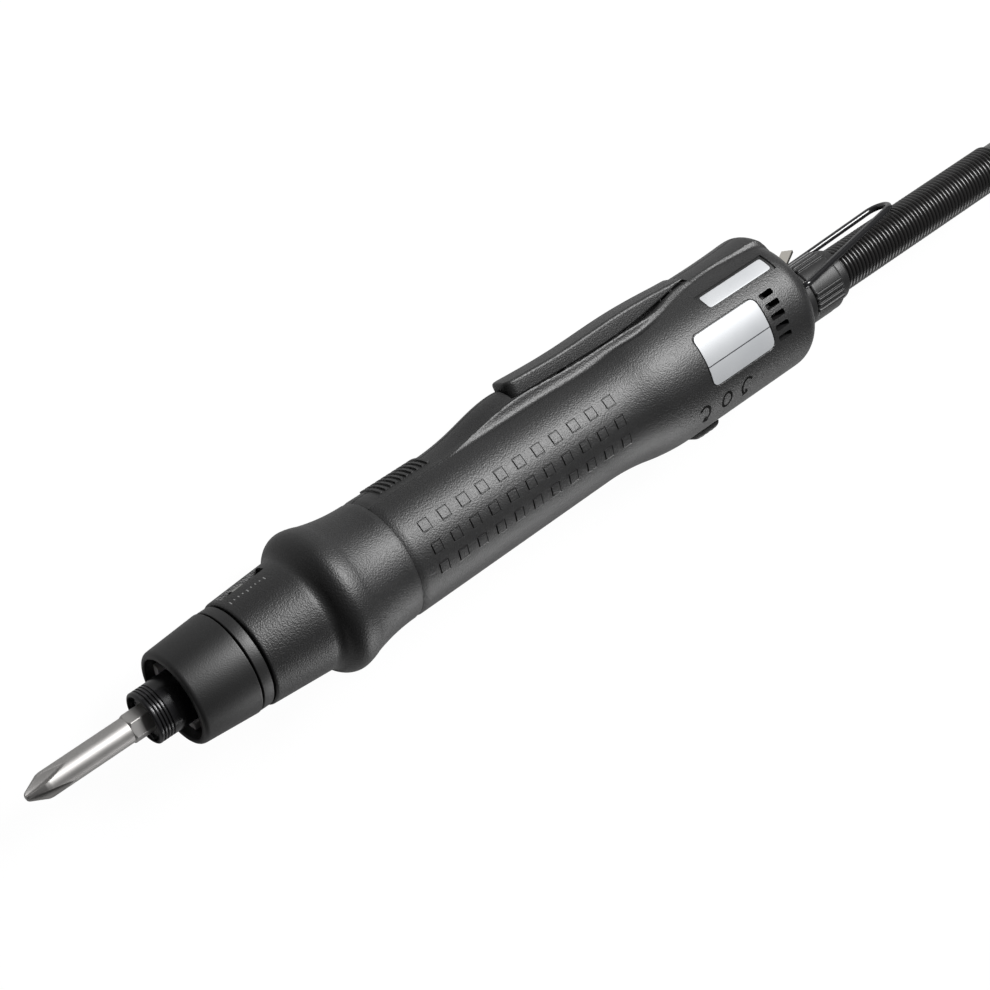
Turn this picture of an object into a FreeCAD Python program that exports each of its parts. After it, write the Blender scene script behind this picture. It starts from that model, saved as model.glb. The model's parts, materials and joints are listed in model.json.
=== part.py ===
"""Inline electric assembly screwdriver, built from separate pieces at real size in millimetres.

X runs along the drive axis from the nose face toward the cable, Y points to the start lever and Z to the
label side. The origin lies on the drive axis, in the plane of the nose face.
"""
import FreeCAD
import Part
import math
import os

V = FreeCAD.Vector

# General clearances and walls
overrun = 1.0            # how far a cutting tool stands past the face that it cuts
fit_gap = 0.05           # radial room of a seat that doesn't turn
running_gap = 0.04       # radial room of a turning shaft
slide_gap = 0.15         # room of a piece that slides
face_gap = 0.3           # room between faces that pass each other
shell_wall = 2.2
split_z = 0.0

# Outer body, from the nose to the rear
nose_length = 15.2
nose_front_r = 11.9
nose_rear_r = 13.2
nose_edge = 1.2
nose_opening_r = 10.35
nose_web = 2.4
nose_lug_count = 4
nose_lug_angle = 28.0
nose_lug_start = 16.0
nose_lug_length = 4.4
ring_gap = 0.45          # dark grooves on both sides of the spacer collar
collar_length = 2.9
collar_r = 13.05
groove_depth = 0.9
clutch_length = 16.2
clutch_front_r = 13.5
clutch_rear_r = 14.65
clutch_wall = 1.6
flange_rise = 7.8
flange_r = 18.45
neck_length = 17.9
grip_r = 15.7
grip_rear_r = 15.3
grip_length = 64.1
bulge_length = 27.0
rear_r = 18.15
rear_length = 46.0
rear_edge = 4.6
rear_wall = 2.2

# Flange outline: shares of the rise from the clutch housing, then of the neck back to the grip
flange_front_shares = [(0.20, 0.07), (0.38, 0.40), (0.62, 0.84)]
flange_back_shares = [(0.105, 0.87), (0.21, 0.65), (0.54, 0.20)]

# Bit and bit holder
bit_length = 50.0
bit_seat = 11.0          # rear end of the bit behind the nose face
bit_hex = 6.35           # across flats
bit_round_length = 20.0
bit_round_r = 3.15
bit_tip_length = 6.6
bit_tip_r = 1.0
bit_wing = 1.1           # thickness of the cross wings
bit_core_r = 0.7
bit_wing_length = 4.3    # stretch over which the wings taper
bit_wing_share = 0.94    # wings' radius at the end of the taper, as a share of the round's
bit_groove_back = 9.4    # locking groove ahead of the bit's rear end
bit_groove_width = 2.9
sleeve_reach = 8.0       # front of the release sleeve ahead of the nose face
sleeve_length = 14.6
sleeve_r = 6.55
sleeve_lip_r = 6.0
sleeve_travel = 2.5
sleeve_mouth = 2.8       # hollow front of the sleeve
sleeve_ring_pitch = 1.1
sleeve_ring_depth = 0.35
sleeve_ring_width = 0.45
sleeve_ring_count = 3
spindle_r = 5.0
spindle_pilot_r = 2.4
spindle_front_setback = 1.3
lock_ball_r = 1.25
lock_ball_rise = 0.55    # how far the balls move out when the sleeve is drawn back
lock_relief = 0.75
circlip_width = 0.8
circlip_height = 0.7
sleeve_spring_wire = 0.5
sleeve_spring_turns = 2.0

# Torque adjuster and clutch
thread_sleeve_wall = 1.0
thread_sleeve_r = 9.6
thread_sleeve_reach = 12.5
bush_length = 5.0
nut_length = 5.8
nut_travel = 4.0
pointer_length = 3.4
pointer_half_width = 1.25
pointer_sink = 0.7       # pointer below the surface of the clutch housing
window_half_width = 1.7
window_front = 1.2
window_length = 12.8
torque_spring_wire = 1.5
torque_spring_turns = 3.5
washer_length = 1.0
clutch_plate_length = 3.8
clutch_ball_r = 1.7
clutch_ball_circle_share = 0.74
clutch_ball_count = 6
clutch_plate_space = 2.6
drive_disc_length = 3.2
drive_disc_gap = 0.4

# Planet gear set
bearing_length = 4.0
bearing_hub_r = 7.0
bearing_race = 1.5
carrier_plate_length = 2.8
gear_length = 5.4
sun_teeth = 12
planet_teeth = 18
planet_count = 3
ring_wall = 2.1
gear_gap = 0.4
pin_r = 1.0
pinion_bore_r = 1.0
spigot_length = 3.6
spigot_wall = 1.15

# Tooth form: shares of the module, and of the pitch for the thickness
tooth_rise_share = 0.72
tooth_fall_share = 1.10
tooth_thick_share = 0.38
tooth_tip_share = 0.22

# Motor
motor_length = 54.0
motor_gap = 0.5
motor_wall = 1.2
motor_end_wall = 2.4
motor_cap_length = 3.2
stator_wall = 4.4
air_gap = 0.5
motor_bearing_r = 4.5
motor_bearing_length = 3.0
shaft_r = 1.5
winding_overhang = 3.0
rotor_setback = 8.0
motor_rib_width = 2.0
motor_rib_inset = 6.0

# Lever, its deck in the body and the ramp and spine beside it
lever_setback = 48.9     # front of the lever behind the seam
lever_length = 60.7
lever_half_width = 4.0
lever_front_top = 20.9
lever_waist_top = 20.15
lever_back_top = 20.45
lever_tail_top = 19.2
lever_front_low = 16.4
lever_middle_low = 15.8
lever_tail_low = 18.55
lever_edge = 0.9
lever_front_gap = 0.6
lever_pin_setback = 5.6  # pin ahead of the lever's rear end
lever_pin_y = 15.6
lever_pin_r = 1.1
lever_pin_length = 15.0
knuckle_r = 2.3
knuckle_half_width = 2.6
deck_y = 14.3
deck_wall = 1.6
deck_flat_share = 0.62   # share of the lever's length over which the deck stays level
deck_end_y = 18.2
deck_rise_share = 0.4
ramp_length = 24.2
ramp_top = 18.55
ramp_half_width = 5.4
spine_top = 18.9
spine_half_width = 4.6
spine_edge = 1.4
spine_end_inset = 2.2
lever_top_shares = [0.33, 0.64, 0.87]
lever_low_shares = [0.62, 0.36]

# Start switch under the lever
pusher_setback = 12.0    # pusher behind the motor's end
pusher_half_width = 2.0
pusher_half_length = 2.4
pusher_y = 11.4
start_switch_length = 20.0
start_switch_height = 9.0
start_switch_half_width = 3.2
switch_rib_length = 2.0
switch_rib_share = 0.5
switch_rib_shares = [0.1, 0.8]
plunger_r = 1.3
plunger_reach = 1.6
plunger_travel = 1.2
lever_spring_thickness = 0.35
lever_spring_half_width = 1.6
lever_spring_foot_share = 0.35

# Direction slider on the lower side
slider_setback = 3.75    # slider's front behind the end of the bulge, in its middle place
slider_length = 8.5
slider_half_width = 3.2
slider_height = 1.1
slider_edge = 0.6
slider_step = 7.5
slider_stem_half = 1.2
slider_stem_length = 4.0
slider_pocket_depth = 1.6
direction_switch_height = 5.2
direction_switch_half_width = 4.6

# Controller board
board_y = -7.6
board_thickness = 1.6
board_setback = 8.0
board_clear = 1.4
rail_length = 3.0
rail_inset = 8.0
rail_height = 4.6
rail_grip = 0.8
chip_height = 1.8
chip_count = 5
chip_share = 0.5

# Screws that hold the halves
screw_r = 1.3
screw_head_r = 2.3
screw_head_length = 1.8
screw_length = 18.0
boss_r = 2.7
screw_head_depth_share = 0.72
screw_front_y_share = -0.80
screw_front_setback = 4.0
screw_rear_y_share = 0.62
screw_rear_inset = 7.5

# Grip pattern, rib patch, vents and label places, on both sides
square_size = 3.0
square_pitch = 6.0
square_height = 0.3
square_count = 11
square_setback = 7.2     # first square's middle behind the seam
square_rows = [68.5, 90.0, 109.5]
rib_count = 10
rib_pitch = 1.62
rib_width = 0.8
rib_height = 0.45
rib_setback = 5.4
rib_angle = 17.0
vent_count = 5
vent_angle = 67.2
vent_angle_step = 9.6
vent_length = 4.6
vent_width = 1.5
vent_inset = 12.4        # vents' rear end ahead of the rear face
label_thickness = 0.15
label_bed = 0.02
large_label_angles = (63.8, 108.3)
large_label_length = 22.4
large_label_setback = 4.8
small_label_angles = (38.0, 51.4)
small_label_length = 22.6
small_label_inset = 7.7
label_recess = 0.4
label_recess_margin = 1.0
label_recess_margin_angle = 2.4

# Rear socket, plug and hanger
plug_y = -3.6
socket_r = 8.9
socket_length = 6.4
socket_flange = 1.2
socket_flange_length = 2.4
socket_neck_r = 8.2
socket_pin_r = 0.7
socket_pin_length = 6.0
socket_pin_circle_r = 3.4
socket_pin_count = 5
plug_r = 6.4
plug_length = 18.6
plug_insert = 4.2
plug_ring_length = 10.6
plug_ring_wall = 2.0
plug_ring_gap = 0.5
plug_flange_r = 7.4
plug_ridge_height = 0.5
plug_ridge_width = 0.9
plug_ridge_groups = 4
plug_ridges_per_group = 4
plug_ridge_angle = 11.0
clip_length = 7.0
clip_half_width = 2.2
clip_thickness = 0.7
clip_arm_length = 4.2
clip_arm_rise = 2.6
hanger_wire_r = 0.9
hanger_length = 45.6
hanger_pivot_back = 3.0
hanger_pivot_y = 0.9
hanger_half_width = 10.6
hanger_tip_half_width = 4.0
hanger_tilt = 4.2
hanger_pin_depth = 1.6

# Ribbed sleeve on the cable
bend_sleeve_r = 6.3
bend_sleeve_valley_r = 5.65
bend_sleeve_bore_r = 3.4
bend_sleeve_length = 75.0
bend_sleeve_pitch = 1.35
bend_sleeve_tail = 6.0   # plain ends, each one tube diameter share of the cable
rib_flank_share = 0.18
rib_top_share = 0.34

# Cable, its tied hank and the connector at its far end
cord_r = 3.0
lead_straight = 7.2
lead_run = 57.0          # length over which the cable bends up onto the hank
hank_r = 17.0
hank_length = 103.0      # straight sides
hank_turns = 5
hank_gap = 0.5           # between one turn and the next
hank_y = 0.8
tail_straight = 4.0
tail_run = 32.0
tangent_steps = 4000
connector_r = 8.6
connector_length = 26.0
connector_grip_length = 12.0
connector_nose_length = 6.0
connector_nose_r = 7.0
connector_wall = 1.0
contact_r = 0.6
contact_depth = 4.0
contact_count = 5
contact_circle_r = 3.6
connector_groove_count = 18
connector_groove_depth = 0.5
tie_width = 8.0
tie_thickness = 0.6
tie_gap = 0.1

# Stations along the axis
collar_x0 = nose_length + ring_gap
collar_x1 = collar_x0 + collar_length
front_x0 = collar_x1 + ring_gap
clutch_x1 = front_x0 + clutch_length
flange_x = clutch_x1 + flange_rise
seam_x = flange_x + neck_length
grip_x1 = seam_x + grip_length
bulge_x1 = grip_x1 + bulge_length
rear_x = bulge_x1 + rear_length
floor_z = -flange_r

# Bit holder stations: the balls lie in the middle of the bit's groove, held in by the sleeve's bore
bit_reach = bit_length - bit_seat
sleeve_x0 = -sleeve_reach
sleeve_x1 = sleeve_x0 + sleeve_length
sleeve_bore_r = spindle_r + running_gap
nose_opening_depth = sleeve_x1 + sleeve_travel + face_gap
lock_ball_x = bit_seat - bit_groove_back - bit_groove_width / 2
lock_ball_centre_r = spindle_r - lock_ball_r
bit_groove_r = lock_ball_centre_r - lock_ball_r - running_gap
sleeve_spring_x0 = lock_ball_x + lock_ball_r * 2 + face_gap
sleeve_spring_r = sleeve_bore_r + slide_gap + sleeve_spring_wire / 2
sleeve_pocket_r = sleeve_spring_r + sleeve_spring_wire / 2 + slide_gap
spindle_collar_x0 = sleeve_x1 + face_gap
circlip_x = sleeve_x0 + sleeve_mouth - circlip_width - slide_gap

# Gear set, set out forward from the end of the front housing's spigot
spigot_x1 = seam_x + spigot_length
spigot_r = grip_r - shell_wall - fit_gap
gear_ring_r = spigot_r - spigot_wall - fit_gap
ring_teeth = sun_teeth + planet_teeth + planet_teeth
module = (gear_ring_r - ring_wall) / (ring_teeth / 2 + tooth_fall_share)
planet_x1 = spigot_x1 - gear_gap
planet_x0 = planet_x1 - gear_length
carrier_x1 = planet_x0 - gear_gap
carrier_x0 = carrier_x1 - carrier_plate_length
bearing_x1 = carrier_x0 - face_gap
bearing_x0 = bearing_x1 - bearing_length
drive_x1 = bearing_x0 - face_gap
drive_x0 = drive_x1 - drive_disc_length
plate_x1 = drive_x0 - clutch_plate_space
plate_x0 = plate_x1 - clutch_plate_length
washer_x0 = plate_x0 - washer_length
clutch_bore_r = clutch_front_r - clutch_wall
drive_r = clutch_bore_r - drive_disc_gap
ball_circle_r = drive_r * clutch_ball_circle_share
nut_x0 = front_x0 + nut_travel + face_gap
nut_x1 = nut_x0 + nut_length
thread_x1 = front_x0 + thread_sleeve_reach

# Motor stations
motor_r = grip_rear_r - shell_wall - motor_gap
motor_x0 = spigot_x1 + face_gap
motor_x1 = motor_x0 + motor_length
stator_r = motor_r - motor_wall
rotor_r = stator_r - stator_wall - air_gap

# Lever stations
lever_x0 = seam_x + lever_setback
lever_x1 = lever_x0 + lever_length
lever_pin_x = lever_x1 - lever_pin_setback
pusher_x = motor_x1 + pusher_setback
plug_x0 = rear_x + socket_length
plug_x1 = plug_x0 - plug_insert + plug_length
hanger_x = rear_x + hanger_pivot_back
slider_x0 = bulge_x1 + slider_setback
stem_x0 = slider_x0 + (slider_length - slider_stem_length) / 2
stem_front_x = stem_x0 - slider_step
stem_rear_x = stem_x0 + slider_stem_length + slider_step

# Cable stations, from the ribbed sleeve along the hank to the connector
sleeve_end_x = plug_x1 + bend_sleeve_length
lead_x0 = sleeve_end_x - cord_r * 2
lead_x1 = sleeve_end_x + lead_straight
lead_x2 = lead_x1 + lead_run
hank_x0 = lead_x2 + lead_straight
hank_x1 = hank_x0 + hank_length
hank_step = cord_r * 2 + hank_gap
hank_low_z = floor_z + tie_thickness + tie_gap + cord_r
hank_top_z = hank_low_z + hank_step * hank_turns
tail_x0 = hank_x1 + tail_straight
tail_x1 = tail_x0 + tail_run
cord_end_x = tail_x1 + tail_straight
connector_z = hank_low_z + hank_step
connector_grip_r = connector_z - floor_z - fit_gap


def lay(shape):
    """Turns a shape made with its axis on Z onto the tool's axis: X goes to Y, Y to Z and Z to X."""
    turned_shape = shape.copy()
    turned_shape.rotate(V(0, 0, 0), V(1, 1, 1), 120)
    return turned_shape


def rod(x0, x1, r, y=0.0, z=0.0):
    """A round bar along X."""
    return Part.makeCylinder(r, x1 - x0, V(x0, y, z), V(1, 0, 0))


def ring(x0, x1, r_out, r_in, y=0.0):
    """A round tube along X."""
    return rod(x0, x1, r_out, y).cut(rod(x0 - overrun, x1 + overrun, r_in, y))


def block(x0, x1, y0, y1, z0, z1):
    """A box between two corners."""
    return Part.makeBox(x1 - x0, y1 - y0, z1 - z0, V(x0, y0, z0))


def sector(x0, x1, r0, r1, a0, a1):
    """A piece of a tube along X between two angles, measured from Y toward Z."""
    solid = Part.makeCylinder(r1, x1 - x0, V(0, 0, x0), V(0, 0, 1), a1 - a0)
    solid = solid.cut(Part.makeCylinder(r0, x1 - x0 + overrun * 2, V(0, 0, x0 - overrun)))
    solid.rotate(V(0, 0, 0), V(0, 0, 1), a0)
    return lay(solid)


def segment(p, q):
    """A straight edge."""
    return Part.LineSegment(p, q).toShape()


def arc(p, m, q):
    """A round edge through three points."""
    return Part.Arc(p, m, q).toShape()


def turned(edges):
    """A solid of revolution about X from a closed outline in the XY plane."""
    return Part.Face(Part.Wire(edges)).revolve(V(0, 0, 0), V(1, 0, 0), 360)


def turned_polygon(points):
    """A solid of revolution about X from the corners of its outline, as (x, radius)."""
    corners = [V(x, r, 0) for x, r in points]
    return turned([segment(p, q) for p, q in zip(corners, corners[1:] + corners[:1])])


def s_curve(p, q):
    """Two equal round edges that leave p and reach q along X."""
    half_x, half_r = (q.x - p.x) / 2, (q.y - p.y) / 2
    radius = (half_x ** 2 + half_r ** 2) / (2 * abs(half_r))
    sagitta = math.copysign(radius - math.sqrt(radius ** 2 - (half_x / 2) ** 2), half_r)
    middle = V(p.x + half_x, p.y + half_r, 0)
    first = arc(p, V(p.x + half_x / 2, p.y + sagitta, 0), middle)
    second = arc(middle, V(q.x - half_x / 2, q.y - sagitta, 0), q)
    return [first, second]


def slab(edges, z0, z1):
    """A closed outline in the XY plane, carried along Z."""
    face = Part.Face(Part.Wire(edges))
    face.translate(V(0, 0, z0))
    return face.extrude(V(0, 0, z1 - z0))


def outline(points):
    """Straight edges round a list of points."""
    return [segment(p, q) for p, q in zip(points, points[1:] + points[:1])]


def spline(points):
    """A smooth edge through points."""
    curve = Part.BSplineCurve()
    curve.interpolate(points)
    return curve.toShape()


def joined(shapes):
    """Shapes fused into one, with split faces merged."""
    return shapes[0].multiFuse(shapes[1:]).removeSplitter()


def around(shape, count, y=0.0):
    """Copies of a shape at equal angles about an axis along X."""
    copies = []
    for k in range(count):
        copy = shape.copy()
        copy.rotate(V(0, y, 0), V(1, 0, 0), 360.0 * k / count)
        copies.append(copy)
    return copies


def corner_arc(start, corner, end):
    """A round edge between two points equally far from a corner, along both of its sides."""
    chord_middle = start.add(end).multiply(0.5)
    half_chord = start.sub(chord_middle).Length
    rise = corner.sub(chord_middle)
    sagitta = half_chord * (corner.sub(start).Length - half_chord) / rise.Length
    return arc(start, chord_middle.add(rise.normalize().multiply(sagitta)), end)


def two_arcs(p, tangent_p, q, tangent_q, reach):
    """Two round edges from p to q by way of two corners, each a given reach along its tangent."""
    corner_p = p.add(V(tangent_p).multiply(reach))
    corner_q = q.sub(V(tangent_q).multiply(reach))
    middle = corner_p.add(corner_q).multiply(0.5)
    return [corner_arc(p, corner_p, middle), corner_arc(middle, corner_q, q)]


def biarc(p, tangent_p, q, tangent_q):
    """Two round edges from p to q that leave and arrive along two different unit tangents."""
    span = q.sub(p)
    total = tangent_p.add(tangent_q)
    spread = 2 * (1 - tangent_p.dot(tangent_q))
    along = span.dot(total)
    reach = (math.sqrt(along ** 2 + spread * span.dot(span)) - along) / spread
    return two_arcs(p, tangent_p, q, tangent_q, reach)


def sidestep(p, q, direction):
    """Two equal arcs from p to q that leave and arrive along the same unit direction."""
    span = q.sub(p)
    return two_arcs(p, direction, q, direction, span.dot(span) / (4 * span.dot(direction)))


def heading(place, t):
    """Unit direction of the path place(t)."""
    small = 1 / tangent_steps
    return place(t + small).sub(place(t - small)).normalize()


def swept_tube(edges, radius, direction):
    """A round tube along joined edges, which leave the first point in a given direction."""
    wire = Part.Wire(edges)
    section = Part.Wire(Part.makeCircle(radius, edges[0].Vertexes[0].Point, direction))
    pipe = Part.BRepOffsetAPI.MakePipeShell(wire)
    pipe.add(section)
    pipe.build()
    pipe.makeSolid()
    return pipe.shape()


def wound_tube(place, start, end, radius):
    """A round tube along place(t), joined by biarcs at every quarter turn."""
    count = max(2, round((end - start) * 4))
    steps = [start + (end - start) * k / count for k in range(count + 1)]
    points = [place(t) for t in steps]
    tangents = [heading(place, t) for t in steps]
    edges = []
    for k in range(count):
        edges += biarc(points[k], tangents[k], points[k + 1], tangents[k + 1])
    return swept_tube(edges, radius, tangents[0])


def spring(x0, x1, middle_r, wire, turns, y=0.0):
    """A coil spring along X between two faces."""
    rise = (x1 - x0 - wire) / turns

    def place(t):
        angle = 2 * math.pi * t
        return V(x0 + wire / 2 + rise * t, y + middle_r * math.cos(angle), middle_r * math.sin(angle))

    return wound_tube(place, 0.0, turns, wire / 2)


def gear_outline(teeth, inward):
    """Corners of a gear with straight flanks, its first tooth on the Y axis of the finished piece."""
    pitch_r = module * teeth / 2
    side = -1 if inward else 1
    tip_r = pitch_r + side * tooth_rise_share * module
    root_r = pitch_r - side * tooth_fall_share * module
    pitch_angle = 2 * math.pi / teeth
    middle_half = pitch_angle * tooth_thick_share / 2
    tip_half = pitch_angle * tooth_tip_share / 2
    root_half = middle_half + (middle_half - tip_half) * tooth_fall_share / tooth_rise_share
    corners = []
    for k in range(teeth):
        middle = pitch_angle * k
        for angle, r in ((-root_half, root_r), (-tip_half, tip_r), (tip_half, tip_r), (root_half, root_r)):
            corners.append(V(r * math.cos(middle + angle), r * math.sin(middle + angle), 0))
    return corners


def gear_body(teeth, x0, x1, inward=False):
    """A toothed bar along X."""
    face = Part.Face(Part.Wire(outline(gear_outline(teeth, inward))))
    face.translate(V(0, 0, x0))
    return lay(face.extrude(V(0, 0, x1 - x0)))


def driver_bit():
    """Cross-tip bit: hexagon shank with a locking groove, round body and four-winged tip."""
    tip_x = -bit_reach
    round_x0 = tip_x + bit_tip_length
    hex_x0 = round_x0 + bit_round_length
    end_x = tip_x + bit_length
    corner_r = bit_hex / math.sqrt(3)
    shank = hexagon(bit_hex, hex_x0, end_x)
    chamfer = corner_r - bit_hex / 2
    chamfered = turned_polygon([(hex_x0, 0), (hex_x0, bit_hex / 2), (hex_x0 + chamfer, corner_r),
                                (end_x - chamfer, corner_r), (end_x, bit_hex / 2), (end_x, 0)])
    shank = shank.common(chamfered)
    groove_x1 = end_x - bit_groove_back
    shank = shank.cut(ring(groove_x1 - bit_groove_width, groove_x1, corner_r + overrun, bit_groove_r))
    wing_x1 = tip_x + bit_wing_length
    half = bit_wing / 2
    cone = turned_polygon([(tip_x, 0), (tip_x, bit_tip_r), (wing_x1, bit_round_r * bit_wing_share),
                           (round_x0, bit_round_r), (round_x0, 0)])
    wings = joined([block(tip_x, round_x0, -bit_round_r, bit_round_r, -half, half),
                    block(tip_x, round_x0, -half, half, -bit_round_r, bit_round_r)])
    core = turned_polygon([(tip_x, 0), (tip_x, bit_core_r), (round_x0, bit_round_r), (round_x0, 0)])
    return joined([shank, rod(round_x0, hex_x0, bit_round_r), core, cone.common(wings)])


def bit_sleeve():
    """Release sleeve: ring grooves at its front, a cone that lets the balls move out, a spring pocket."""
    edge = sleeve_r - sleeve_lip_r
    body = turned_polygon([(sleeve_x0, sleeve_bore_r), (sleeve_x0, sleeve_lip_r),
                           (sleeve_x0 + edge, sleeve_r), (sleeve_x1, sleeve_r), (sleeve_x1, sleeve_bore_r)])
    mouth = ring(sleeve_x0 - overrun, sleeve_x0 + sleeve_mouth, spindle_r + circlip_height, spindle_pilot_r)
    cone_x1 = lock_ball_x + slide_gap
    cone_x0 = cone_x1 - lock_relief * sleeve_travel / lock_ball_rise
    relief_r = sleeve_bore_r + lock_relief
    relief = turned_polygon([(cone_x0 - lock_ball_r, spindle_pilot_r), (cone_x0 - lock_ball_r, relief_r),
                             (cone_x0, relief_r), (cone_x1, sleeve_bore_r), (cone_x1, spindle_pilot_r)])
    pocket = ring(sleeve_spring_x0, sleeve_x1 + overrun, sleeve_pocket_r, spindle_pilot_r)
    body = body.cut(mouth).cut(relief).cut(pocket)
    for k in range(sleeve_ring_count):
        groove_x = sleeve_x0 + edge + sleeve_ring_width + sleeve_ring_pitch * k
        body = body.cut(ring(groove_x, groove_x + sleeve_ring_width, sleeve_r + overrun,
                             sleeve_r - sleeve_ring_depth))
    return body


def hexagon(across, x0, x1):
    """A hexagon bar along X."""
    corner_r = across / math.sqrt(3)
    angles = [math.pi * k / 3 for k in range(6)]
    corners = [V(corner_r * math.cos(a), corner_r * math.sin(a), 0) for a in angles]
    face = Part.Face(Part.Wire(outline(corners)))
    face.translate(V(0, 0, x0))
    return lay(face.extrude(V(0, 0, x1 - x0)))


def output_spindle():
    """Spindle with the hexagon socket, ball holes, circlip groove and a pilot into the planet carrier."""
    x0 = sleeve_x0 + spindle_front_setback
    collar_x1 = nose_opening_depth
    body = joined([rod(x0, drive_x0, spindle_r), rod(drive_x0, drive_x1, spindle_pilot_r),
                   rod(spindle_collar_x0, collar_x1, sleeve_pocket_r - slide_gap)])
    socket = hexagon(bit_hex + slide_gap, x0 - overrun, bit_seat + face_gap)
    hole_reach = spindle_r + overrun
    hole = Part.makeCylinder(lock_ball_r + running_gap, hole_reach * 2, V(lock_ball_x, 0, -hole_reach))
    groove = ring(circlip_x, circlip_x + circlip_width, spindle_r + overrun, spindle_r - circlip_height)
    return body.cut(socket).cut(hole).cut(groove)


def sleeve_circlip():
    """Open retaining ring that keeps the release sleeve on the spindle."""
    x1 = circlip_x + circlip_width
    clip = ring(circlip_x, x1, spindle_r + circlip_height - slide_gap, spindle_r - circlip_height + fit_gap)
    mouth = block(circlip_x - overrun, x1 + overrun, 0, spindle_r * 2, -circlip_height, circlip_height)
    return clip.cut(mouth)


def sleeve_spring():
    """Spring between the release sleeve and the spindle's collar."""
    return spring(sleeve_spring_x0, spindle_collar_x0, sleeve_spring_r, sleeve_spring_wire,
                  sleeve_spring_turns)


def lock_ball(side):
    """One locking ball, on the label side or opposite it."""
    return Part.makeSphere(lock_ball_r, V(lock_ball_x, 0, side * lock_ball_centre_r))


def torque_ring():
    """Tapered nose ring with its threaded inner sleeve."""
    web_x1 = nose_opening_depth + nose_web
    slope = (nose_rear_r - nose_front_r) / nose_length
    edge_r = nose_front_r + slope * nose_edge
    bore_r = thread_sleeve_r - thread_sleeve_wall
    skirt_r = thread_sleeve_r + face_gap
    turn = nose_edge * (1 - math.sqrt(0.5))
    edges = [segment(V(0, nose_opening_r, 0), V(0, edge_r - nose_edge, 0)),
             arc(V(0, edge_r - nose_edge, 0), V(turn, edge_r - turn, 0), V(nose_edge, edge_r, 0)),
             segment(V(nose_edge, edge_r, 0), V(nose_length, nose_rear_r, 0))]
    corners = [V(nose_length, nose_rear_r, 0), V(nose_length, skirt_r, 0), V(web_x1, skirt_r, 0),
               V(web_x1, thread_sleeve_r, 0), V(thread_x1, thread_sleeve_r, 0), V(thread_x1, bore_r, 0),
               V(nose_opening_depth, bore_r, 0), V(nose_opening_depth, nose_opening_r, 0),
               V(0, nose_opening_r, 0)]
    edges += [segment(p, q) for p, q in zip(corners, corners[1:])]
    return turned(edges)


def nose_insert():
    """Grey metal ring with lugs, seen in the nose opening."""
    r_out = nose_opening_r - fit_gap
    r_in = sleeve_r + face_gap * 2
    x1 = nose_opening_depth
    x0 = x1 - nose_web
    lug = sector(x0 - nose_lug_length, x0, (r_out + r_in) / 2, r_out, nose_lug_start,
                 nose_lug_start + nose_lug_angle)
    return joined([ring(x0, x1, r_out, r_in)] + around(lug, nose_lug_count))


def spindle_bush():
    """Plain bush in the adjuster's sleeve, which carries the front of the spindle."""
    x0 = nose_opening_depth + face_gap
    return ring(x0, x0 + bush_length, thread_sleeve_r - thread_sleeve_wall - fit_gap, spindle_r + running_gap)


def spacer_collar():
    """Narrow fixed collar between the nose ring and the clutch housing."""
    bore_r = thread_sleeve_r + running_gap
    step_r = collar_r - groove_depth
    return turned_polygon([(collar_x0, bore_r), (collar_x0, collar_r), (collar_x1, collar_r),
                           (collar_x1, step_r), (front_x0, step_r), (front_x0, bore_r)])


def torque_nut():
    """Adjusting nut with the pointer that shows in the scale window."""
    bore_r = thread_sleeve_r + running_gap
    nut_r = clutch_bore_r - slide_gap
    middle = (nut_x0 + nut_x1) / 2
    surface_r = clutch_front_r + (clutch_rear_r - clutch_front_r) * (middle - front_x0) / clutch_length
    pointer = block(middle - pointer_length / 2, middle + pointer_length / 2, thread_sleeve_r + face_gap,
                    surface_r - pointer_sink, -pointer_half_width, pointer_half_width)
    return joined([ring(nut_x0, nut_x1, nut_r, bore_r), pointer])


def torque_spring():
    """Clutch spring between the adjusting nut and the thrust washer."""
    middle_r = (clutch_bore_r + thread_sleeve_r) / 2
    return spring(nut_x1, washer_x0, middle_r, torque_spring_wire, torque_spring_turns)


def thrust_washer():
    """Washer under the clutch spring."""
    return ring(washer_x0, plate_x0, drive_r, thread_sleeve_r - thread_sleeve_wall)


def clutch_balls_compound(r):
    """Balls between the clutch plate and the drive disc."""
    middle = (plate_x1 + drive_x0) / 2
    return Part.makeCompound(around(Part.makeSphere(r, V(middle, ball_circle_r, 0)), clutch_ball_count))


def clutch_plate():
    """Driven clutch plate, which slides on the spindle when the clutch trips."""
    plate = ring(plate_x0, plate_x1, drive_r, spindle_r + running_gap)
    return plate.cut(clutch_balls_compound(clutch_ball_r + running_gap))


def planet_places():
    """Middles of the planet gears, as (y, z)."""
    r = module * (sun_teeth + planet_teeth) / 2
    angles = [2 * math.pi * k / planet_count for k in range(planet_count)]
    return [(r * math.cos(a), r * math.sin(a)) for a in angles]


def planet_carrier():
    """Drive disc, bearing hub and planet plate in one piece."""
    body = joined([rod(drive_x0, drive_x1, drive_r), rod(drive_x1, carrier_x0, bearing_hub_r),
                   rod(carrier_x0, carrier_x1, drive_r)])
    body = body.cut(rod(drive_x0 - overrun, drive_x1, spindle_pilot_r))
    body = body.cut(clutch_balls_compound(clutch_ball_r + running_gap))
    pins = [rod(carrier_x0, carrier_x1 + overrun, pin_r, y, z) for y, z in planet_places()]
    return body.cut(Part.makeCompound(pins))


def planet_pins():
    """Pins of the planet gears."""
    return Part.makeCompound([rod(carrier_x0, planet_x1, pin_r, y, z) for y, z in planet_places()])


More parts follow.
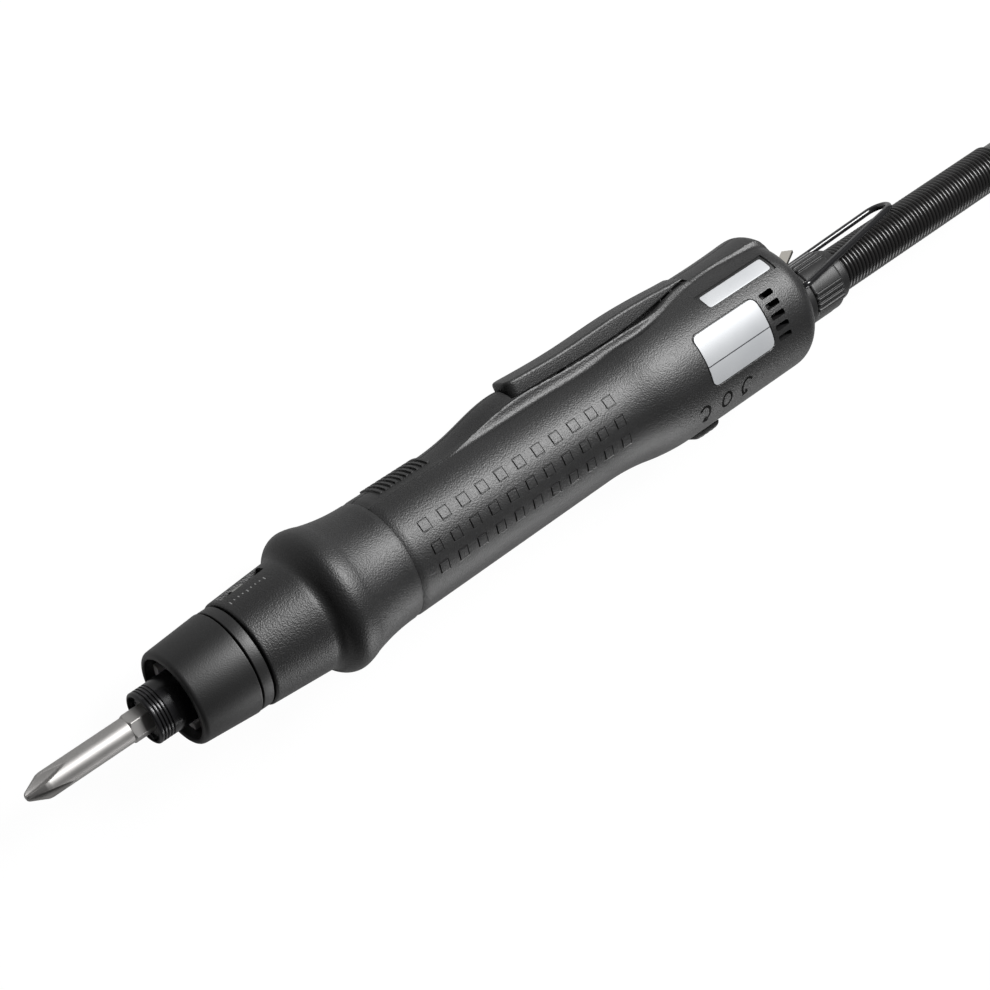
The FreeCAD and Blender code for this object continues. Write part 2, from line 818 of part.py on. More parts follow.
def planet_gear(index):
    """One planet gear, turned so that gaps face the sun and the ring."""
    gear = gear_body(planet_teeth, planet_x0, planet_x1)
    gear = gear.cut(rod(planet_x0 - overrun, planet_x1 + overrun, pin_r + running_gap))
    angle = 360.0 * index / planet_count
    gear.rotate(V(0, 0, 0), V(1, 0, 0), angle + 180.0 / planet_teeth)
    y, z = planet_places()[index]
    gear.translate(V(0, y, z))
    return gear


def ring_gear():
    """Inner-toothed gear ring in the front housing's spigot."""
    space = gear_body(ring_teeth, planet_x0 - overrun - gear_gap, spigot_x1 + overrun, inward=True)
    return rod(planet_x0 - gear_gap / 2, spigot_x1, gear_ring_r).cut(space)


def sun_pinion():
    """Pinion on the motor shaft."""
    gear = gear_body(sun_teeth, planet_x0, planet_x1)
    return gear.cut(rod(planet_x0 - overrun, planet_x1 + overrun, pinion_bore_r))


def ball_bearing(x0, x1, r_out, r_in, race):
    """A shielded bearing: two races and the shield between them."""
    sink = (x1 - x0) / 8
    body = ring(x0, x1, r_out, r_in)
    shield_out, shield_in = r_out - race, r_in + race
    body = body.cut(ring(x0 - overrun, x0 + sink, shield_out, shield_in))
    return body.cut(ring(x1 - sink, x1 + overrun, shield_out, shield_in))


def front_housing():
    """Clutch housing, hand flange and neck, with the spigot that goes into the grip."""
    rise = flange_r - clutch_rear_r
    fall = flange_r - grip_r
    a, b, c = [V(clutch_x1 + flange_rise * along, clutch_rear_r + rise * up, 0)
               for along, up in flange_front_shares]
    d, e, f = [V(flange_x + neck_length * along, grip_r + fall * up, 0) for along, up in flange_back_shares]
    top = V(flange_x, flange_r, 0)
    start = V(clutch_x1, clutch_rear_r, 0)
    end = V(seam_x, grip_r, 0)
    outer = [segment(V(front_x0, clutch_front_r, 0), start), arc(start, a, b), arc(b, c, top), arc(top, d, e),
             arc(e, f, end)]
    seat_r = gear_ring_r + fit_gap
    corners = [end, V(seam_x, spigot_r, 0), V(spigot_x1, spigot_r, 0), V(spigot_x1, seat_r, 0),
               V(bearing_x0, seat_r, 0), V(bearing_x0, clutch_bore_r, 0), V(front_x0, clutch_bore_r, 0),
               V(front_x0, clutch_front_r, 0)]
    body = turned(outer + [segment(p, q) for p, q in zip(corners, corners[1:])])
    window_x0 = front_x0 + window_front
    window = block(window_x0, window_x0 + window_length, thread_sleeve_r, flange_r, -window_half_width,
                   window_half_width)
    return body.cut(window)


def motor_can():
    """Motor case with a closed front that seats the front bearing."""
    body = ring(motor_x0, motor_x1 - motor_cap_length, motor_r, stator_r)
    seat_x1 = motor_x0 + motor_end_wall + motor_bearing_length
    front = ring(motor_x0, seat_x1, motor_r, motor_bearing_r + fit_gap)
    lip = ring(motor_x0, motor_x0 + motor_end_wall, motor_bearing_r + fit_gap, shaft_r + face_gap)
    return joined([body, front, lip])


def motor_cap():
    """Rear cap of the motor, which seats the rear bearing."""
    x0 = motor_x1 - motor_cap_length
    body = joined([ring(x0, motor_x1, motor_r, motor_bearing_r + fit_gap),
                   ring(x0 - motor_bearing_length, x0, stator_r - fit_gap, motor_bearing_r + fit_gap),
                   rod(motor_x1 - motor_cap_length / 2, motor_x1, motor_bearing_r + fit_gap)])
    return body


def motor_bearing(x0):
    """A bearing of the motor's shaft."""
    return ball_bearing(x0, x0 + motor_bearing_length, motor_bearing_r, shaft_r + running_gap, shaft_r / 2)


def motor_bearing_front_x():
    """Front face of the front motor bearing."""
    return motor_x0 + motor_end_wall


def motor_bearing_rear_x():
    """Front face of the rear motor bearing."""
    return motor_x1 - motor_cap_length - motor_bearing_length + motor_cap_length / 2


def stator():
    """Stator pack with rounded winding heads."""
    x0 = motor_x0 + rotor_setback + winding_overhang
    x1 = motor_x1 - rotor_setback - winding_overhang
    pack = ring(x0, x1, stator_r - fit_gap, stator_r - stator_wall)
    middle_r = stator_r - stator_wall / 2
    heads = [Part.makeTorus(middle_r, winding_overhang / 2, V(x, 0, 0), V(1, 0, 0))
             for x in (x0 - winding_overhang / 4, x1 + winding_overhang / 4)]
    return joined([pack] + heads)


def rotor():
    """Rotor with its shaft, which carries the pinion at its front."""
    core_x0 = motor_x0 + rotor_setback
    core_x1 = motor_x1 - rotor_setback
    shoulder_x = spigot_x1
    shaft_end = motor_bearing_rear_x() + motor_bearing_length
    return joined([rod(planet_x0, shoulder_x, pinion_bore_r), rod(shoulder_x, shaft_end, shaft_r),
                   rod(core_x0, core_x1, rotor_r)])


def deck_points():
    """Outline of the space over the lever deck, from the ramp's end to where the deck meets the spine."""
    x0 = lever_x0 - lever_front_gap
    x1 = lever_x1
    flat_x = lever_x0 + lever_length * deck_flat_share
    return x0, flat_x, x1


def deck_space(drop):
    """Everything above the lever deck, which may be lowered by a wall."""
    x0, flat_x, x1 = deck_points()
    top = spine_top * 2
    p0, p1 = V(x0 - drop, deck_y - drop, 0), V(flat_x, deck_y - drop, 0)
    p2 = V(x1 + drop, deck_end_y - drop, 0)
    middle = V((flat_x + x1) / 2, deck_y - drop + (deck_end_y - deck_y) * deck_rise_share, 0)
    edges = [segment(p0, p1), arc(p1, middle, p2), segment(p2, V(p2.x, top, 0)),
             segment(V(p2.x, top, 0), V(p0.x, top, 0)), segment(V(p0.x, top, 0), p0)]
    return slab(edges, -rear_r * 2, rear_r * 2)


def body_turn(inset, x_end, edge):
    """The round grip and rear body, or the space inside it when inset is the wall."""
    rs = grip_r - inset
    start = V(seam_x, rs, 0)
    waist = V(grip_x1, grip_rear_r - inset, 0)
    full = V(bulge_x1, rear_r - inset, 0)
    turn_x = x_end - edge
    turn = edge * math.sqrt(0.5)
    corner = V(turn_x, rear_r - inset, 0)
    corner_end = V(x_end, rear_r - inset - edge, 0)
    round_middle = V(turn_x + turn, rear_r - inset - edge + turn, 0)
    edges = [segment(V(seam_x, 0, 0), start), segment(start, waist)] + s_curve(waist, full)
    edges += [segment(full, corner), arc(corner, round_middle, corner_end),
              segment(corner_end, V(x_end, 0, 0)), segment(V(x_end, 0, 0), V(seam_x, 0, 0))]
    return turned(edges)


def ramp():
    """Raised ramp in front of the lever, with rounded upper edges."""
    x1 = lever_x0 - lever_front_gap
    x0 = x1 - ramp_length
    foot = V(x0, grip_rear_r, 0)
    low = grip_r - shell_wall
    edges = s_curve(foot, V(x1, ramp_top, 0))
    edges += [segment(V(x1, ramp_top, 0), V(x1, low, 0)), segment(V(x1, low, 0), V(x0, low, 0)),
              segment(V(x0, low, 0), foot)]
    return slab(edges, -ramp_half_width, ramp_half_width)


def spine():
    """Raised spine from the lever's rear end to the rear of the body."""
    x0 = lever_x1 + lever_front_gap
    x1 = rear_x - spine_end_inset
    body = block(x0, x1, lever_pin_y, spine_top, -spine_half_width, spine_half_width)
    edges = [e for e in body.Edges if min(v.Y for v in e.Vertexes) > spine_top - spine_edge
             and abs(e.Vertexes[0].Z - e.Vertexes[1].Z) < spine_edge]
    return body.makeFillet(spine_edge, edges)


def grip_ribs():
    """Fine cross ribs on the lever side, just behind the seam."""
    ribs = []
    for k in range(rib_count):
        x = seam_x + rib_setback + rib_pitch * k
        low, high = grip_r - shell_wall / 2, grip_r + rib_height
        ribs.append(sector(x, x + rib_width, low, high, -rib_angle, rib_angle))
    return ribs


def grip_squares():
    """Raised square studs in rows on both sides."""
    studs = []
    for k in range(square_count):
        x = seam_x + square_setback + square_pitch * k
        surface_r = grip_r + (grip_rear_r - grip_r) * (x - seam_x) / grip_length
        stud = block(x - square_size / 2, x + square_size / 2, surface_r - shell_wall / 2,
                     surface_r + square_height, -square_size / 2, square_size / 2)
        for row in square_rows:
            for angle in (row, -row):
                copy = stud.copy()
                copy.rotate(V(0, 0, 0), V(1, 0, 0), angle)
                studs.append(copy)
    return studs


def vent_slots():
    """Cooling slots on both sides, near the rear."""
    x1 = rear_x - vent_inset
    x0 = x1 - vent_length
    half = vent_width / 2
    low = rear_r - shell_wall - overrun
    slot = joined([block(x0 + half, x1 - half, low, rear_r + overrun, -half, half),
                   Part.makeCylinder(half, rear_r + overrun - low, V(x0 + half, low, 0), V(0, 1, 0)),
                   Part.makeCylinder(half, rear_r + overrun - low, V(x1 - half, low, 0), V(0, 1, 0))])
    slots = []
    for k in range(vent_count):
        for side in (1, -1):
            copy = slot.copy()
            copy.rotate(V(0, 0, 0), V(1, 0, 0), side * (vent_angle + vent_angle_step * k))
            slots.append(copy)
    return slots


def small_label_x0():
    """Front end of the small label."""
    return rear_x - small_label_inset - small_label_length


def small_label():
    """Blank narrow label plate in its recess."""
    x0 = small_label_x0()
    bed = rear_r - label_recess + label_bed
    return sector(x0, x0 + small_label_length, bed, bed + label_thickness, *small_label_angles)


def large_label():
    """Blank wide label plate."""
    x0 = bulge_x1 + large_label_setback
    bed = rear_r + label_bed
    return sector(x0, x0 + large_label_length, bed, bed + label_thickness, *large_label_angles)


def screw_places():
    """Middles of the housing screws, as (x, y)."""
    front = (motor_x1 + screw_front_setback, (grip_rear_r - shell_wall) * screw_front_y_share)
    rear_x_place = rear_x - screw_rear_inset
    rear_y = (rear_r - shell_wall) * screw_rear_y_share
    return [front, (rear_x_place, rear_y), (rear_x_place, -rear_y)]


def screw_head_z(y):
    """Outer face of a screw's head, sunk in the body's surface at height y."""
    return -math.sqrt(rear_r ** 2 - y ** 2) * screw_head_depth_share


def housing_screws():
    """Screws through the plain half into the label half."""
    screws = []
    for x, y in screw_places():
        z = screw_head_z(y)
        head = Part.makeCylinder(screw_head_r, screw_head_length, V(x, y, z))
        stem = Part.makeCylinder(screw_r, screw_length, V(x, y, z))
        slot = block(x - screw_head_r, x + screw_head_r, y - screw_r / 4, y + screw_r / 4, z - overrun,
                     z + screw_head_length / 2)
        screws.append(joined([head, stem]).cut(slot))
    return Part.makeCompound(screws)


def socket_hole():
    """Hole of the rear socket in the rear wall."""
    return rod(rear_x - rear_wall - overrun, rear_x + overrun, socket_neck_r + fit_gap, plug_y)


def board_rails():
    """Rails on both walls that hold the controller board by its edges."""
    x0, x1 = board_ends()
    half = board_half_width()
    middle = board_y + board_thickness / 2
    slot = block(x0, x1, board_y - fit_gap, board_y + board_thickness + fit_gap, -half - fit_gap,
                 half + fit_gap)
    rails = []
    for x in (x0 + rail_inset, x1 - rail_inset - rail_length):
        for side in (1, -1):
            near, far = sorted((side * (half - rail_grip), side * rear_r))
            rail = block(x, x + rail_length, middle - rail_height / 2, middle + rail_height / 2, near, far)
            rails.append(rail.cut(slot))
    return rails


def switch_ribs():
    """Ribs from both walls to the sides of the start switch."""
    x0 = pusher_x - start_switch_length / 3
    y1 = plunger_top() - plunger_reach - start_switch_height * switch_rib_share / 2
    y0 = y1 - start_switch_height * switch_rib_share
    ribs = []
    for share in switch_rib_shares:
        x = x0 + start_switch_length * share
        for side in (1, -1):
            near, far = sorted((side * (start_switch_half_width + fit_gap), side * rear_r))
            ribs.append(block(x, x + switch_rib_length, y0, y1, near, far))
    return ribs


def housing_halves():
    """The two grip shells, split in the plane of the lever."""
    outer = joined([body_turn(0, rear_x, rear_edge), ramp(), spine()] + grip_ribs() + grip_squares())
    outer = outer.cut(deck_space(0))
    cavity = body_turn(shell_wall, rear_x - rear_wall, rear_edge - shell_wall / 2).cut(deck_space(deck_wall))
    shell = outer.cut(cavity)
    additions = []
    for x in (motor_x0 + motor_rib_inset, motor_x1 - motor_rib_inset):
        additions.append(ring(x, x + motor_rib_width, grip_rear_r - shell_wall / 2, motor_r + fit_gap))
    for x, y in screw_places():
        boss = Part.makeCylinder(boss_r, rear_r * 2, V(x, y, -rear_r))
        additions.append(boss.common(body_turn(shell_wall / 2, rear_x - rear_wall / 2, rear_edge)))
    cheek = block(lever_pin_x - knuckle_r * 2, lever_pin_x + knuckle_r * 2, lever_pin_y - knuckle_r * 2,
                  lever_pin_y + lever_pin_r + deck_wall, -lever_pin_length / 2 - deck_wall,
                  lever_pin_length / 2 + deck_wall)
    additions.append(cheek.common(body_turn(shell_wall / 2, rear_x, rear_edge)).cut(deck_space(0)))
    inner_form = body_turn(shell_wall / 2, rear_x, rear_edge)
    additions += [rib.common(inner_form) for rib in board_rails() + switch_ribs()]
    shell = joined([shell] + additions)
    cuts = vent_slots() + [socket_hole()]
    for x, y in screw_places():
        z = screw_head_z(y)
        cuts.append(Part.makeCylinder(screw_r + fit_gap, screw_length, V(x, y, z)))
        head_z = z + screw_head_length - rear_r
        cuts.append(Part.makeCylinder(screw_head_r + fit_gap, rear_r, V(x, y, head_z)))
    knuckle_room = knuckle_half_width + slide_gap
    cuts.append(block(lever_pin_x - knuckle_r - face_gap, lever_pin_x + knuckle_r + face_gap,
                      lever_pin_y - knuckle_r - face_gap, spine_top, -knuckle_room, knuckle_room))
    cuts.append(Part.makeCylinder(lever_pin_r + fit_gap, lever_pin_length, V(lever_pin_x, lever_pin_y,
                                                                             -lever_pin_length / 2)))
    pusher_room = pusher_half_width + slide_gap * 2
    cuts.append(block(pusher_x - pusher_half_length - face_gap, pusher_x + pusher_half_length + face_gap,
                      deck_y - deck_wall - overrun, spine_top, -pusher_room, pusher_room))
    stem_room = slider_stem_half + slide_gap
    cuts.append(block(stem_front_x - slide_gap, stem_rear_x + slide_gap, -rear_r - overrun,
                      -rear_r + shell_wall + overrun, -stem_room, stem_room))
    margin = label_recess_margin
    x0 = small_label_x0()
    a0, a1 = small_label_angles
    cuts.append(sector(x0 - margin, x0 + small_label_length + margin, rear_r - label_recess, rear_r + overrun,
                       a0 - label_recess_margin_angle, a1 + label_recess_margin_angle))
    for cut in cuts:
        shell = shell.cut(cut)
    half = block(seam_x - overrun, rear_x + overrun, -rear_r * 2, rear_r * 2, split_z, rear_r * 2)
    return shell.common(half), shell.cut(half)


def lever():
    """Start lever: a tapered bar with a rounded front, a pivot knuckle and a pusher for the switch."""
    top_heights = [lever_waist_top, lever_back_top, (lever_back_top + lever_tail_top) / 2]
    tops = [V(lever_x0 + lever_edge, lever_front_top, 0)]
    tops += [V(lever_x0 + lever_length * share, y, 0) for share, y in zip(lever_top_shares, top_heights)]
    tops.append(V(lever_x1, lever_tail_top, 0))
    lows = [V(lever_x1, lever_tail_low, 0)]
    lows += [V(lever_x0 + lever_length * share, lever_middle_low, 0) for share in lever_low_shares]
    lows.append(V(lever_x0 + lever_edge, lever_front_low, 0))
    front_high = V(lever_x0, lever_front_top - lever_edge, 0)
    front_low = V(lever_x0, lever_front_low + lever_edge, 0)
    inset = lever_edge * (1 - math.sqrt(0.5))
    edges = [spline(tops), segment(tops[-1], lows[0]), spline(lows),
             arc(lows[-1], V(lever_x0 + inset, lever_front_low + inset, 0), front_low),
             segment(front_low, front_high),
             arc(front_high, V(lever_x0 + inset, lever_front_top - inset, 0), tops[0])]
    bar = slab(edges, -lever_half_width, lever_half_width)
    front = lever_x0 + lever_half_width
    tall = lever_front_top * 2
    plan = joined([block(front, lever_x1 + overrun, 0, tall, -lever_half_width, lever_half_width),
                   Part.makeCylinder(lever_half_width, tall, V(front, 0, 0), V(0, 1, 0))])
    bar = bar.common(plan)
    knuckle = Part.makeCylinder(knuckle_r, knuckle_half_width * 2,
                                V(lever_pin_x, lever_pin_y, -knuckle_half_width))
    web = block(lever_pin_x - knuckle_r, lever_pin_x + knuckle_r, lever_pin_y, lever_tail_low,
                -knuckle_half_width, knuckle_half_width)
    pusher = block(pusher_x - pusher_half_length, pusher_x + pusher_half_length, pusher_y, lever_front_low,
                   -pusher_half_width, pusher_half_width)
    body = joined([bar, knuckle, web, pusher])
    return body.cut(Part.makeCylinder(lever_pin_r + running_gap, lever_pin_length, V(lever_pin_x, lever_pin_y,
                                                                                      -lever_pin_length / 2)))


def lever_pin():
    """Pivot pin of the lever, held in the halves."""
    start = V(lever_pin_x, lever_pin_y, -lever_pin_length / 2)
    return Part.makeCylinder(lever_pin_r, lever_pin_length, start)


def lever_spring():
    """Return spring: a leaf with a foot on the deck and an arc that rises to the lever."""
    x0 = pusher_x + pusher_half_length + face_gap * 2
    x1 = lever_x0 + lever_length * lever_low_shares[0]
    foot_x = x0 + (x1 - x0) * lever_spring_foot_share
    run = x1 - foot_x
    rise = lever_middle_low - slide_gap - lever_spring_thickness - deck_y
    radius = (run ** 2 + rise ** 2) / (2 * rise)
    middle_y = deck_y + radius - math.sqrt(radius ** 2 - (run / 2) ** 2)
    up = V(0, lever_spring_thickness, 0)
    a, b = V(x0, deck_y, 0), V(foot_x, deck_y, 0)
    m, c = V(foot_x + run / 2, middle_y, 0), V(x1, deck_y + rise, 0)
    edges = [segment(a, b), arc(b, m, c), segment(c, c.add(up)), arc(c.add(up), m.add(up), b.add(up)),
             segment(b.add(up), a.add(up)), segment(a.add(up), a)]
    return slab(edges, -lever_spring_half_width, lever_spring_half_width)


def plunger_top():
    """Height of the switch plunger, just under the lever's pusher."""
    return pusher_y - slide_gap


def start_switch():
    """Body of the start switch."""
    y1 = plunger_top() - plunger_reach
    body = block(pusher_x - start_switch_length / 3, pusher_x + start_switch_length * 2 / 3,
                 y1 - start_switch_height, y1, -start_switch_half_width, start_switch_half_width)
    hole_low = y1 - plunger_reach - plunger_travel - face_gap
    hole = Part.makeCylinder(plunger_r + slide_gap / 2, y1 - hole_low + overrun, V(pusher_x, hole_low, 0),
                             V(0, 1, 0))
    return body.cut(hole)


def switch_plunger():
    """Plunger of the start switch."""
    low = plunger_top() - plunger_reach * 2
    return Part.makeCylinder(plunger_r, plunger_reach * 2, V(pusher_x, low, 0), V(0, 1, 0))


def slider_seat_y():
    """Underside of the direction slider's knob."""
    return -rear_r - slide_gap


def direction_slider():
    """Low slide knob with a stem into the direction switch."""
    y1 = slider_seat_y()
    knob = block(slider_x0, slider_x0 + slider_length, y1 - slider_height, y1, -slider_half_width,
                 slider_half_width)
    edges = [e for e in knob.Edges if max(v.Y for v in e.Vertexes) < y1 - slider_height / 2]
    knob = knob.makeFillet(min(slider_edge, slider_height / 2), edges)
    stem = block(stem_x0, stem_x0 + slider_stem_length, y1, direction_switch_y0() + slider_pocket_depth,
                 -slider_stem_half, slider_stem_half)
    return joined([knob, stem])


def direction_switch_y0():
    """Lower face of the direction switch, close inside the shell."""
    return board_y - direction_switch_height


def direction_switch():
    """Body of the direction switch, under the board, with a pocket for the slider's stem."""
    x0 = stem_front_x - direction_switch_half_width
    x1 = stem_rear_x + direction_switch_half_width
    y0 = direction_switch_y0()
    body = block(x0, x1, y0, board_y, -direction_switch_half_width, direction_switch_half_width)
    room = slider_stem_half + slide_gap
    pocket = block(stem_front_x - face_gap, stem_rear_x + face_gap, y0 - overrun,
                   y0 + slider_pocket_depth + face_gap, -room, room)
    return body.cut(pocket)


def board_half_width():
    """Half the board's width, inside the cavity."""
    return math.sqrt((grip_rear_r - shell_wall) ** 2 - board_y ** 2) - board_clear


def board_ends():
    """Ends of the controller board along the axis."""
    return motor_x1 + board_setback, rear_x - screw_rear_inset - boss_r - board_clear


def control_board():
    """Controller board."""
    x0, x1 = board_ends()
    half = board_half_width()
    return block(x0, x1, board_y, board_y + board_thickness, -half, half)


def board_chips():
    """Power transistors and parts on the board."""
    x0, x1 = board_ends()
    pitch = (x1 - x0) / chip_count
    y0 = board_y + board_thickness
    half = board_half_width() / 2
    starts = [x0 + pitch * (k + chip_share / 2) for k in range(chip_count)]
    chips = [block(x, x + pitch * chip_share, y0, y0 + chip_height, -half, half) for x in starts]
    return Part.makeCompound(chips)


def rear_socket():
    """Cable socket: inner flange, neck through the rear wall and outer collar with the hanger's eyes."""
    inner_x = rear_x - rear_wall
    bore_r = plug_r + slide_gap
    flange_x0 = inner_x - socket_flange_length
    body = joined([rod(flange_x0, inner_x - fit_gap, socket_neck_r + socket_flange, plug_y),
                   rod(inner_x - fit_gap, rear_x + fit_gap, socket_neck_r, plug_y),
                   rod(rear_x + fit_gap, plug_x0, socket_r, plug_y)])
    body = body.cut(rod(plug_x0 - plug_insert - face_gap, plug_x0 + overrun, bore_r, plug_y))
    reach = hanger_half_width
    eye = Part.makeCylinder(hanger_wire_r + running_gap, reach * 2, V(hanger_x, hanger_pivot_y, -reach))
    wide = hanger_wire_r * 2
    core = block(hanger_x - wide, hanger_x + wide, hanger_pivot_y - wide, hanger_pivot_y + wide,
                 -hanger_eye_z(), hanger_eye_z())
    body = body.cut(eye.cut(core))
    hole = rod(flange_x0 - overrun, plug_x0, socket_pin_r + fit_gap, plug_y + socket_pin_circle_r)
    return body.cut(Part.makeCompound(around(hole, socket_pin_count, plug_y)))


def hanger_eye_z():
    """Depth to which the hanger's ends reach into the collar, from the middle plane."""
    surface = math.sqrt(socket_r ** 2 - (hanger_pivot_y - plug_y) ** 2)
    return surface - hanger_pin_depth - face_gap


def socket_pins():
    """Contact pins in the rear socket."""
    x1 = plug_x0 - plug_insert - face_gap
    pin = rod(x1 - socket_pin_length, x1 + plug_insert / 2, socket_pin_r, plug_y + socket_pin_circle_r)
    return Part.makeCompound(around(pin, socket_pin_count, plug_y))


def plug_body():
    """Plug on the cable's end, in the rear socket."""
    x0 = plug_x0 - plug_insert
    x1 = plug_x1
    ring_x0 = plug_x0 + plug_ring_gap
    ring_x1 = ring_x0 + plug_ring_length + plug_ring_gap
    body = joined([rod(x0, x1, plug_r, plug_y), rod(ring_x1, x1, plug_flange_r, plug_y)])
    holes = rod(x0 - overrun, x0 + socket_pin_length, socket_pin_r + fit_gap, plug_y + socket_pin_circle_r)
    body = body.cut(Part.makeCompound(around(holes, socket_pin_count, plug_y)))
    return body.cut(rod(x1 - bend_sleeve_tail, x1 + overrun, bend_sleeve_valley_r, plug_y))


def plug_ring():
    """Locking ring of the plug, with groups of ridges."""
    x0 = plug_x0 + plug_ring_gap
    x1 = x0 + plug_ring_length
    r_in = plug_r + running_gap
    r_out = plug_r + plug_ring_wall
    body = ring(x0, x1, r_out, r_in, plug_y)
    ridges = []
    for group in range(plug_ridge_groups):
        for k in range(plug_ridges_per_group):
            ridge = block(x0 + plug_ridge_width, x1 - plug_ridge_width, plug_y + (r_in + r_out) / 2,
                          plug_y + r_out + plug_ridge_height, -plug_ridge_width / 2, plug_ridge_width / 2)
            angle = 360.0 * group / plug_ridge_groups + plug_ridge_angle * k
            ridge.rotate(V(0, plug_y, 0), V(1, 0, 0), angle)
            ridges.append(ridge)
    return joined([body] + ridges)


def hub_clip():
    """Bright spring clip on top of the socket's collar, with an arm that rises over the plug's ring."""
    y0 = plug_y + socket_r
    x0 = max(plug_x0 - clip_length, rear_x + fit_gap)
    tip_x = plug_x0 + clip_arm_length
    low = [V(x0, y0, 0), V(plug_x0, y0, 0), V(tip_x, y0 + clip_arm_rise, 0)]
    top = [point.add(V(0, clip_thickness, 0)) for point in reversed(low)]
    return slab(outline(low + top), -clip_half_width, clip_half_width)


def hanger():
    """Wire hanger: two legs that taper to a rounded tip, with ends turned in to the socket's eyes."""
    tip_x = hanger_x + hanger_length - hanger_tip_half_width
    wide, narrow = hanger_half_width, hanger_tip_half_width
    turn_r = hanger_wire_r * 2
    inner = hanger_eye_z() + face_gap
    lean = math.atan2(wide - narrow, tip_x - hanger_x)
    edges = []
    ends = []
    for side in (1, -1):
        pin_end = V(hanger_x, hanger_pivot_y, side * inner)
        corner = V(hanger_x, hanger_pivot_y, side * wide)
        leg_end = V(tip_x, hanger_pivot_y, side * narrow)
        leg = leg_end.sub(corner).normalize()
        before = corner.sub(V(0, 0, side * turn_r))
        after = corner.add(V(leg).multiply(turn_r))
        turn = biarc(before, V(0, 0, side), after, leg)
        edges.append((segment(pin_end, before), turn, segment(after, leg_end)))
        ends.append(leg_end)
    near, far = edges
    bow_r = narrow / math.cos(lean)
    bow = [arc(ends[0], V(tip_x + bow_r * (1 - math.sin(lean)), hanger_pivot_y, 0), ends[1])]
    path = Part.Wire([near[0]] + near[1] + [near[2]] + bow + [far[2]] + list(reversed(far[1])) + [far[0]])
    start = V(hanger_x, hanger_pivot_y, inner)
    section = Part.Wire(Part.makeCircle(hanger_wire_r, start, V(0, 0, 1)))
    pipe = Part.BRepOffsetAPI.MakePipeShell(path)
    pipe.add(section)
    pipe.build()
    pipe.makeSolid()
    wire = pipe.shape()
    wire.rotate(V(hanger_x, hanger_pivot_y, 0), V(0, 0, 1), hanger_tilt)
    return wire


def bend_sleeve():
    """Ribbed sleeve that guards the cable behind the plug: plain ends, ribs between them and a bore."""
    x0 = plug_x1 - bend_sleeve_tail
    x1 = x0 + bend_sleeve_tail + bend_sleeve_length
    rib_x0 = plug_x1
    count = int((bend_sleeve_length - bend_sleeve_tail) / bend_sleeve_pitch)
    valley_r = bend_sleeve_valley_r - fit_gap
    flank = bend_sleeve_pitch * rib_flank_share
    top = bend_sleeve_pitch * rib_top_share
    circles = [(x0, valley_r)]
    for k in range(count):
        x = rib_x0 + bend_sleeve_pitch * k
        circles += [(x, valley_r), (x + flank, bend_sleeve_r), (x + flank + top, bend_sleeve_r),
                    (x + flank * 2 + top, valley_r)]
    circles.append((x1, valley_r))
    wires = [Part.Wire(Part.makeCircle(r, V(x, plug_y, 0), V(1, 0, 0))) for x, r in circles]
    skin = Part.makeLoft(wires, True, True)
    return skin.cut(rod(x0 - overrun, x1 + overrun, bend_sleeve_bore_r, plug_y))


def cable(edges):
    """The round cable along a path that starts along X, with its length and volume share printed."""
    shape = swept_tube(edges, cord_r, V(1, 0, 0))
    length = sum(edge.Length for edge in edges)
    print("cable length", round(length, 1), "volume share", shape.Volume / (math.pi * cord_r ** 2 * length))
    return shape


def cord_lead():
    """Cable from inside the ribbed sleeve, in two arcs up onto the hank."""
    bend = V(lead_x1, plug_y, 0)
    level = V(lead_x2, hank_y - hank_r, hank_top_z)
    return cable([segment(V(lead_x0, plug_y, 0), bend)] + sidestep(bend, level, V(1, 0, 0))
                 + [segment(level, V(hank_x0, hank_y - hank_r, hank_top_z))])


def cord_coil():
    """Put-away cable as one unbroken hank: level turns that each step down on one side, then the tail."""
    near_y, far_y = hank_y - hank_r, hank_y + hank_r
    edges = []
    for k in range(hank_turns):
        z = hank_top_z - hank_step * k
        next_z = z - hank_step
        edges.append(segment(V(hank_x0, near_y, z), V(hank_x1, near_y, z)))
        edges.append(arc(V(hank_x1, near_y, z), V(hank_x1 + hank_r, hank_y, z), V(hank_x1, far_y, z)))
        edges += sidestep(V(hank_x1, far_y, z), V(hank_x0, far_y, next_z), V(-1, 0, 0))
        edges.append(arc(V(hank_x0, far_y, next_z), V(hank_x0 - hank_r, hank_y, next_z),
                         V(hank_x0, near_y, next_z)))
    edges.append(segment(V(hank_x0, near_y, hank_low_z), V(tail_x0, near_y, hank_low_z)))
    edges += sidestep(V(tail_x0, near_y, hank_low_z), V(tail_x1, near_y, connector_z), V(1, 0, 0))
    edges.append(segment(V(tail_x1, near_y, connector_z), V(cord_end_x, near_y, connector_z)))
    return cable(edges)


def set_on_cord_end(shape):
    """Moves a piece made along X from the origin to the cable's end."""
    placed = shape.copy()
    placed.translate(V(cord_end_x, hank_y - hank_r, connector_z))
    return placed


def connector_body():
    """Shell of the round connector at the cable's far end."""
    taper_x1 = (connector_length - connector_grip_length) / 2
    x1 = connector_length
    nose_x1 = x1 + connector_nose_length
    body = turned_polygon([(0, 0), (0, cord_r * 2), (taper_x1, connector_r), (x1, connector_r),
                           (x1, connector_nose_r), (nose_x1, connector_nose_r), (nose_x1, 0)])
    return set_on_cord_end(body.cut(rod(x1, nose_x1 + overrun, connector_nose_r - connector_wall)))


def connector_grip():
    """Grooved grip of the push-fit connector."""
    x0 = connector_length - connector_grip_length
    x1 = connector_length
    body = ring(x0, x1, connector_grip_r, connector_r)
    depth = connector_groove_depth
    groove = block(x0 - overrun, x1 + overrun, connector_grip_r - depth, connector_grip_r + overrun, -depth,
                   depth)
    return set_on_cord_end(body.cut(Part.makeCompound(around(groove, connector_groove_count))))


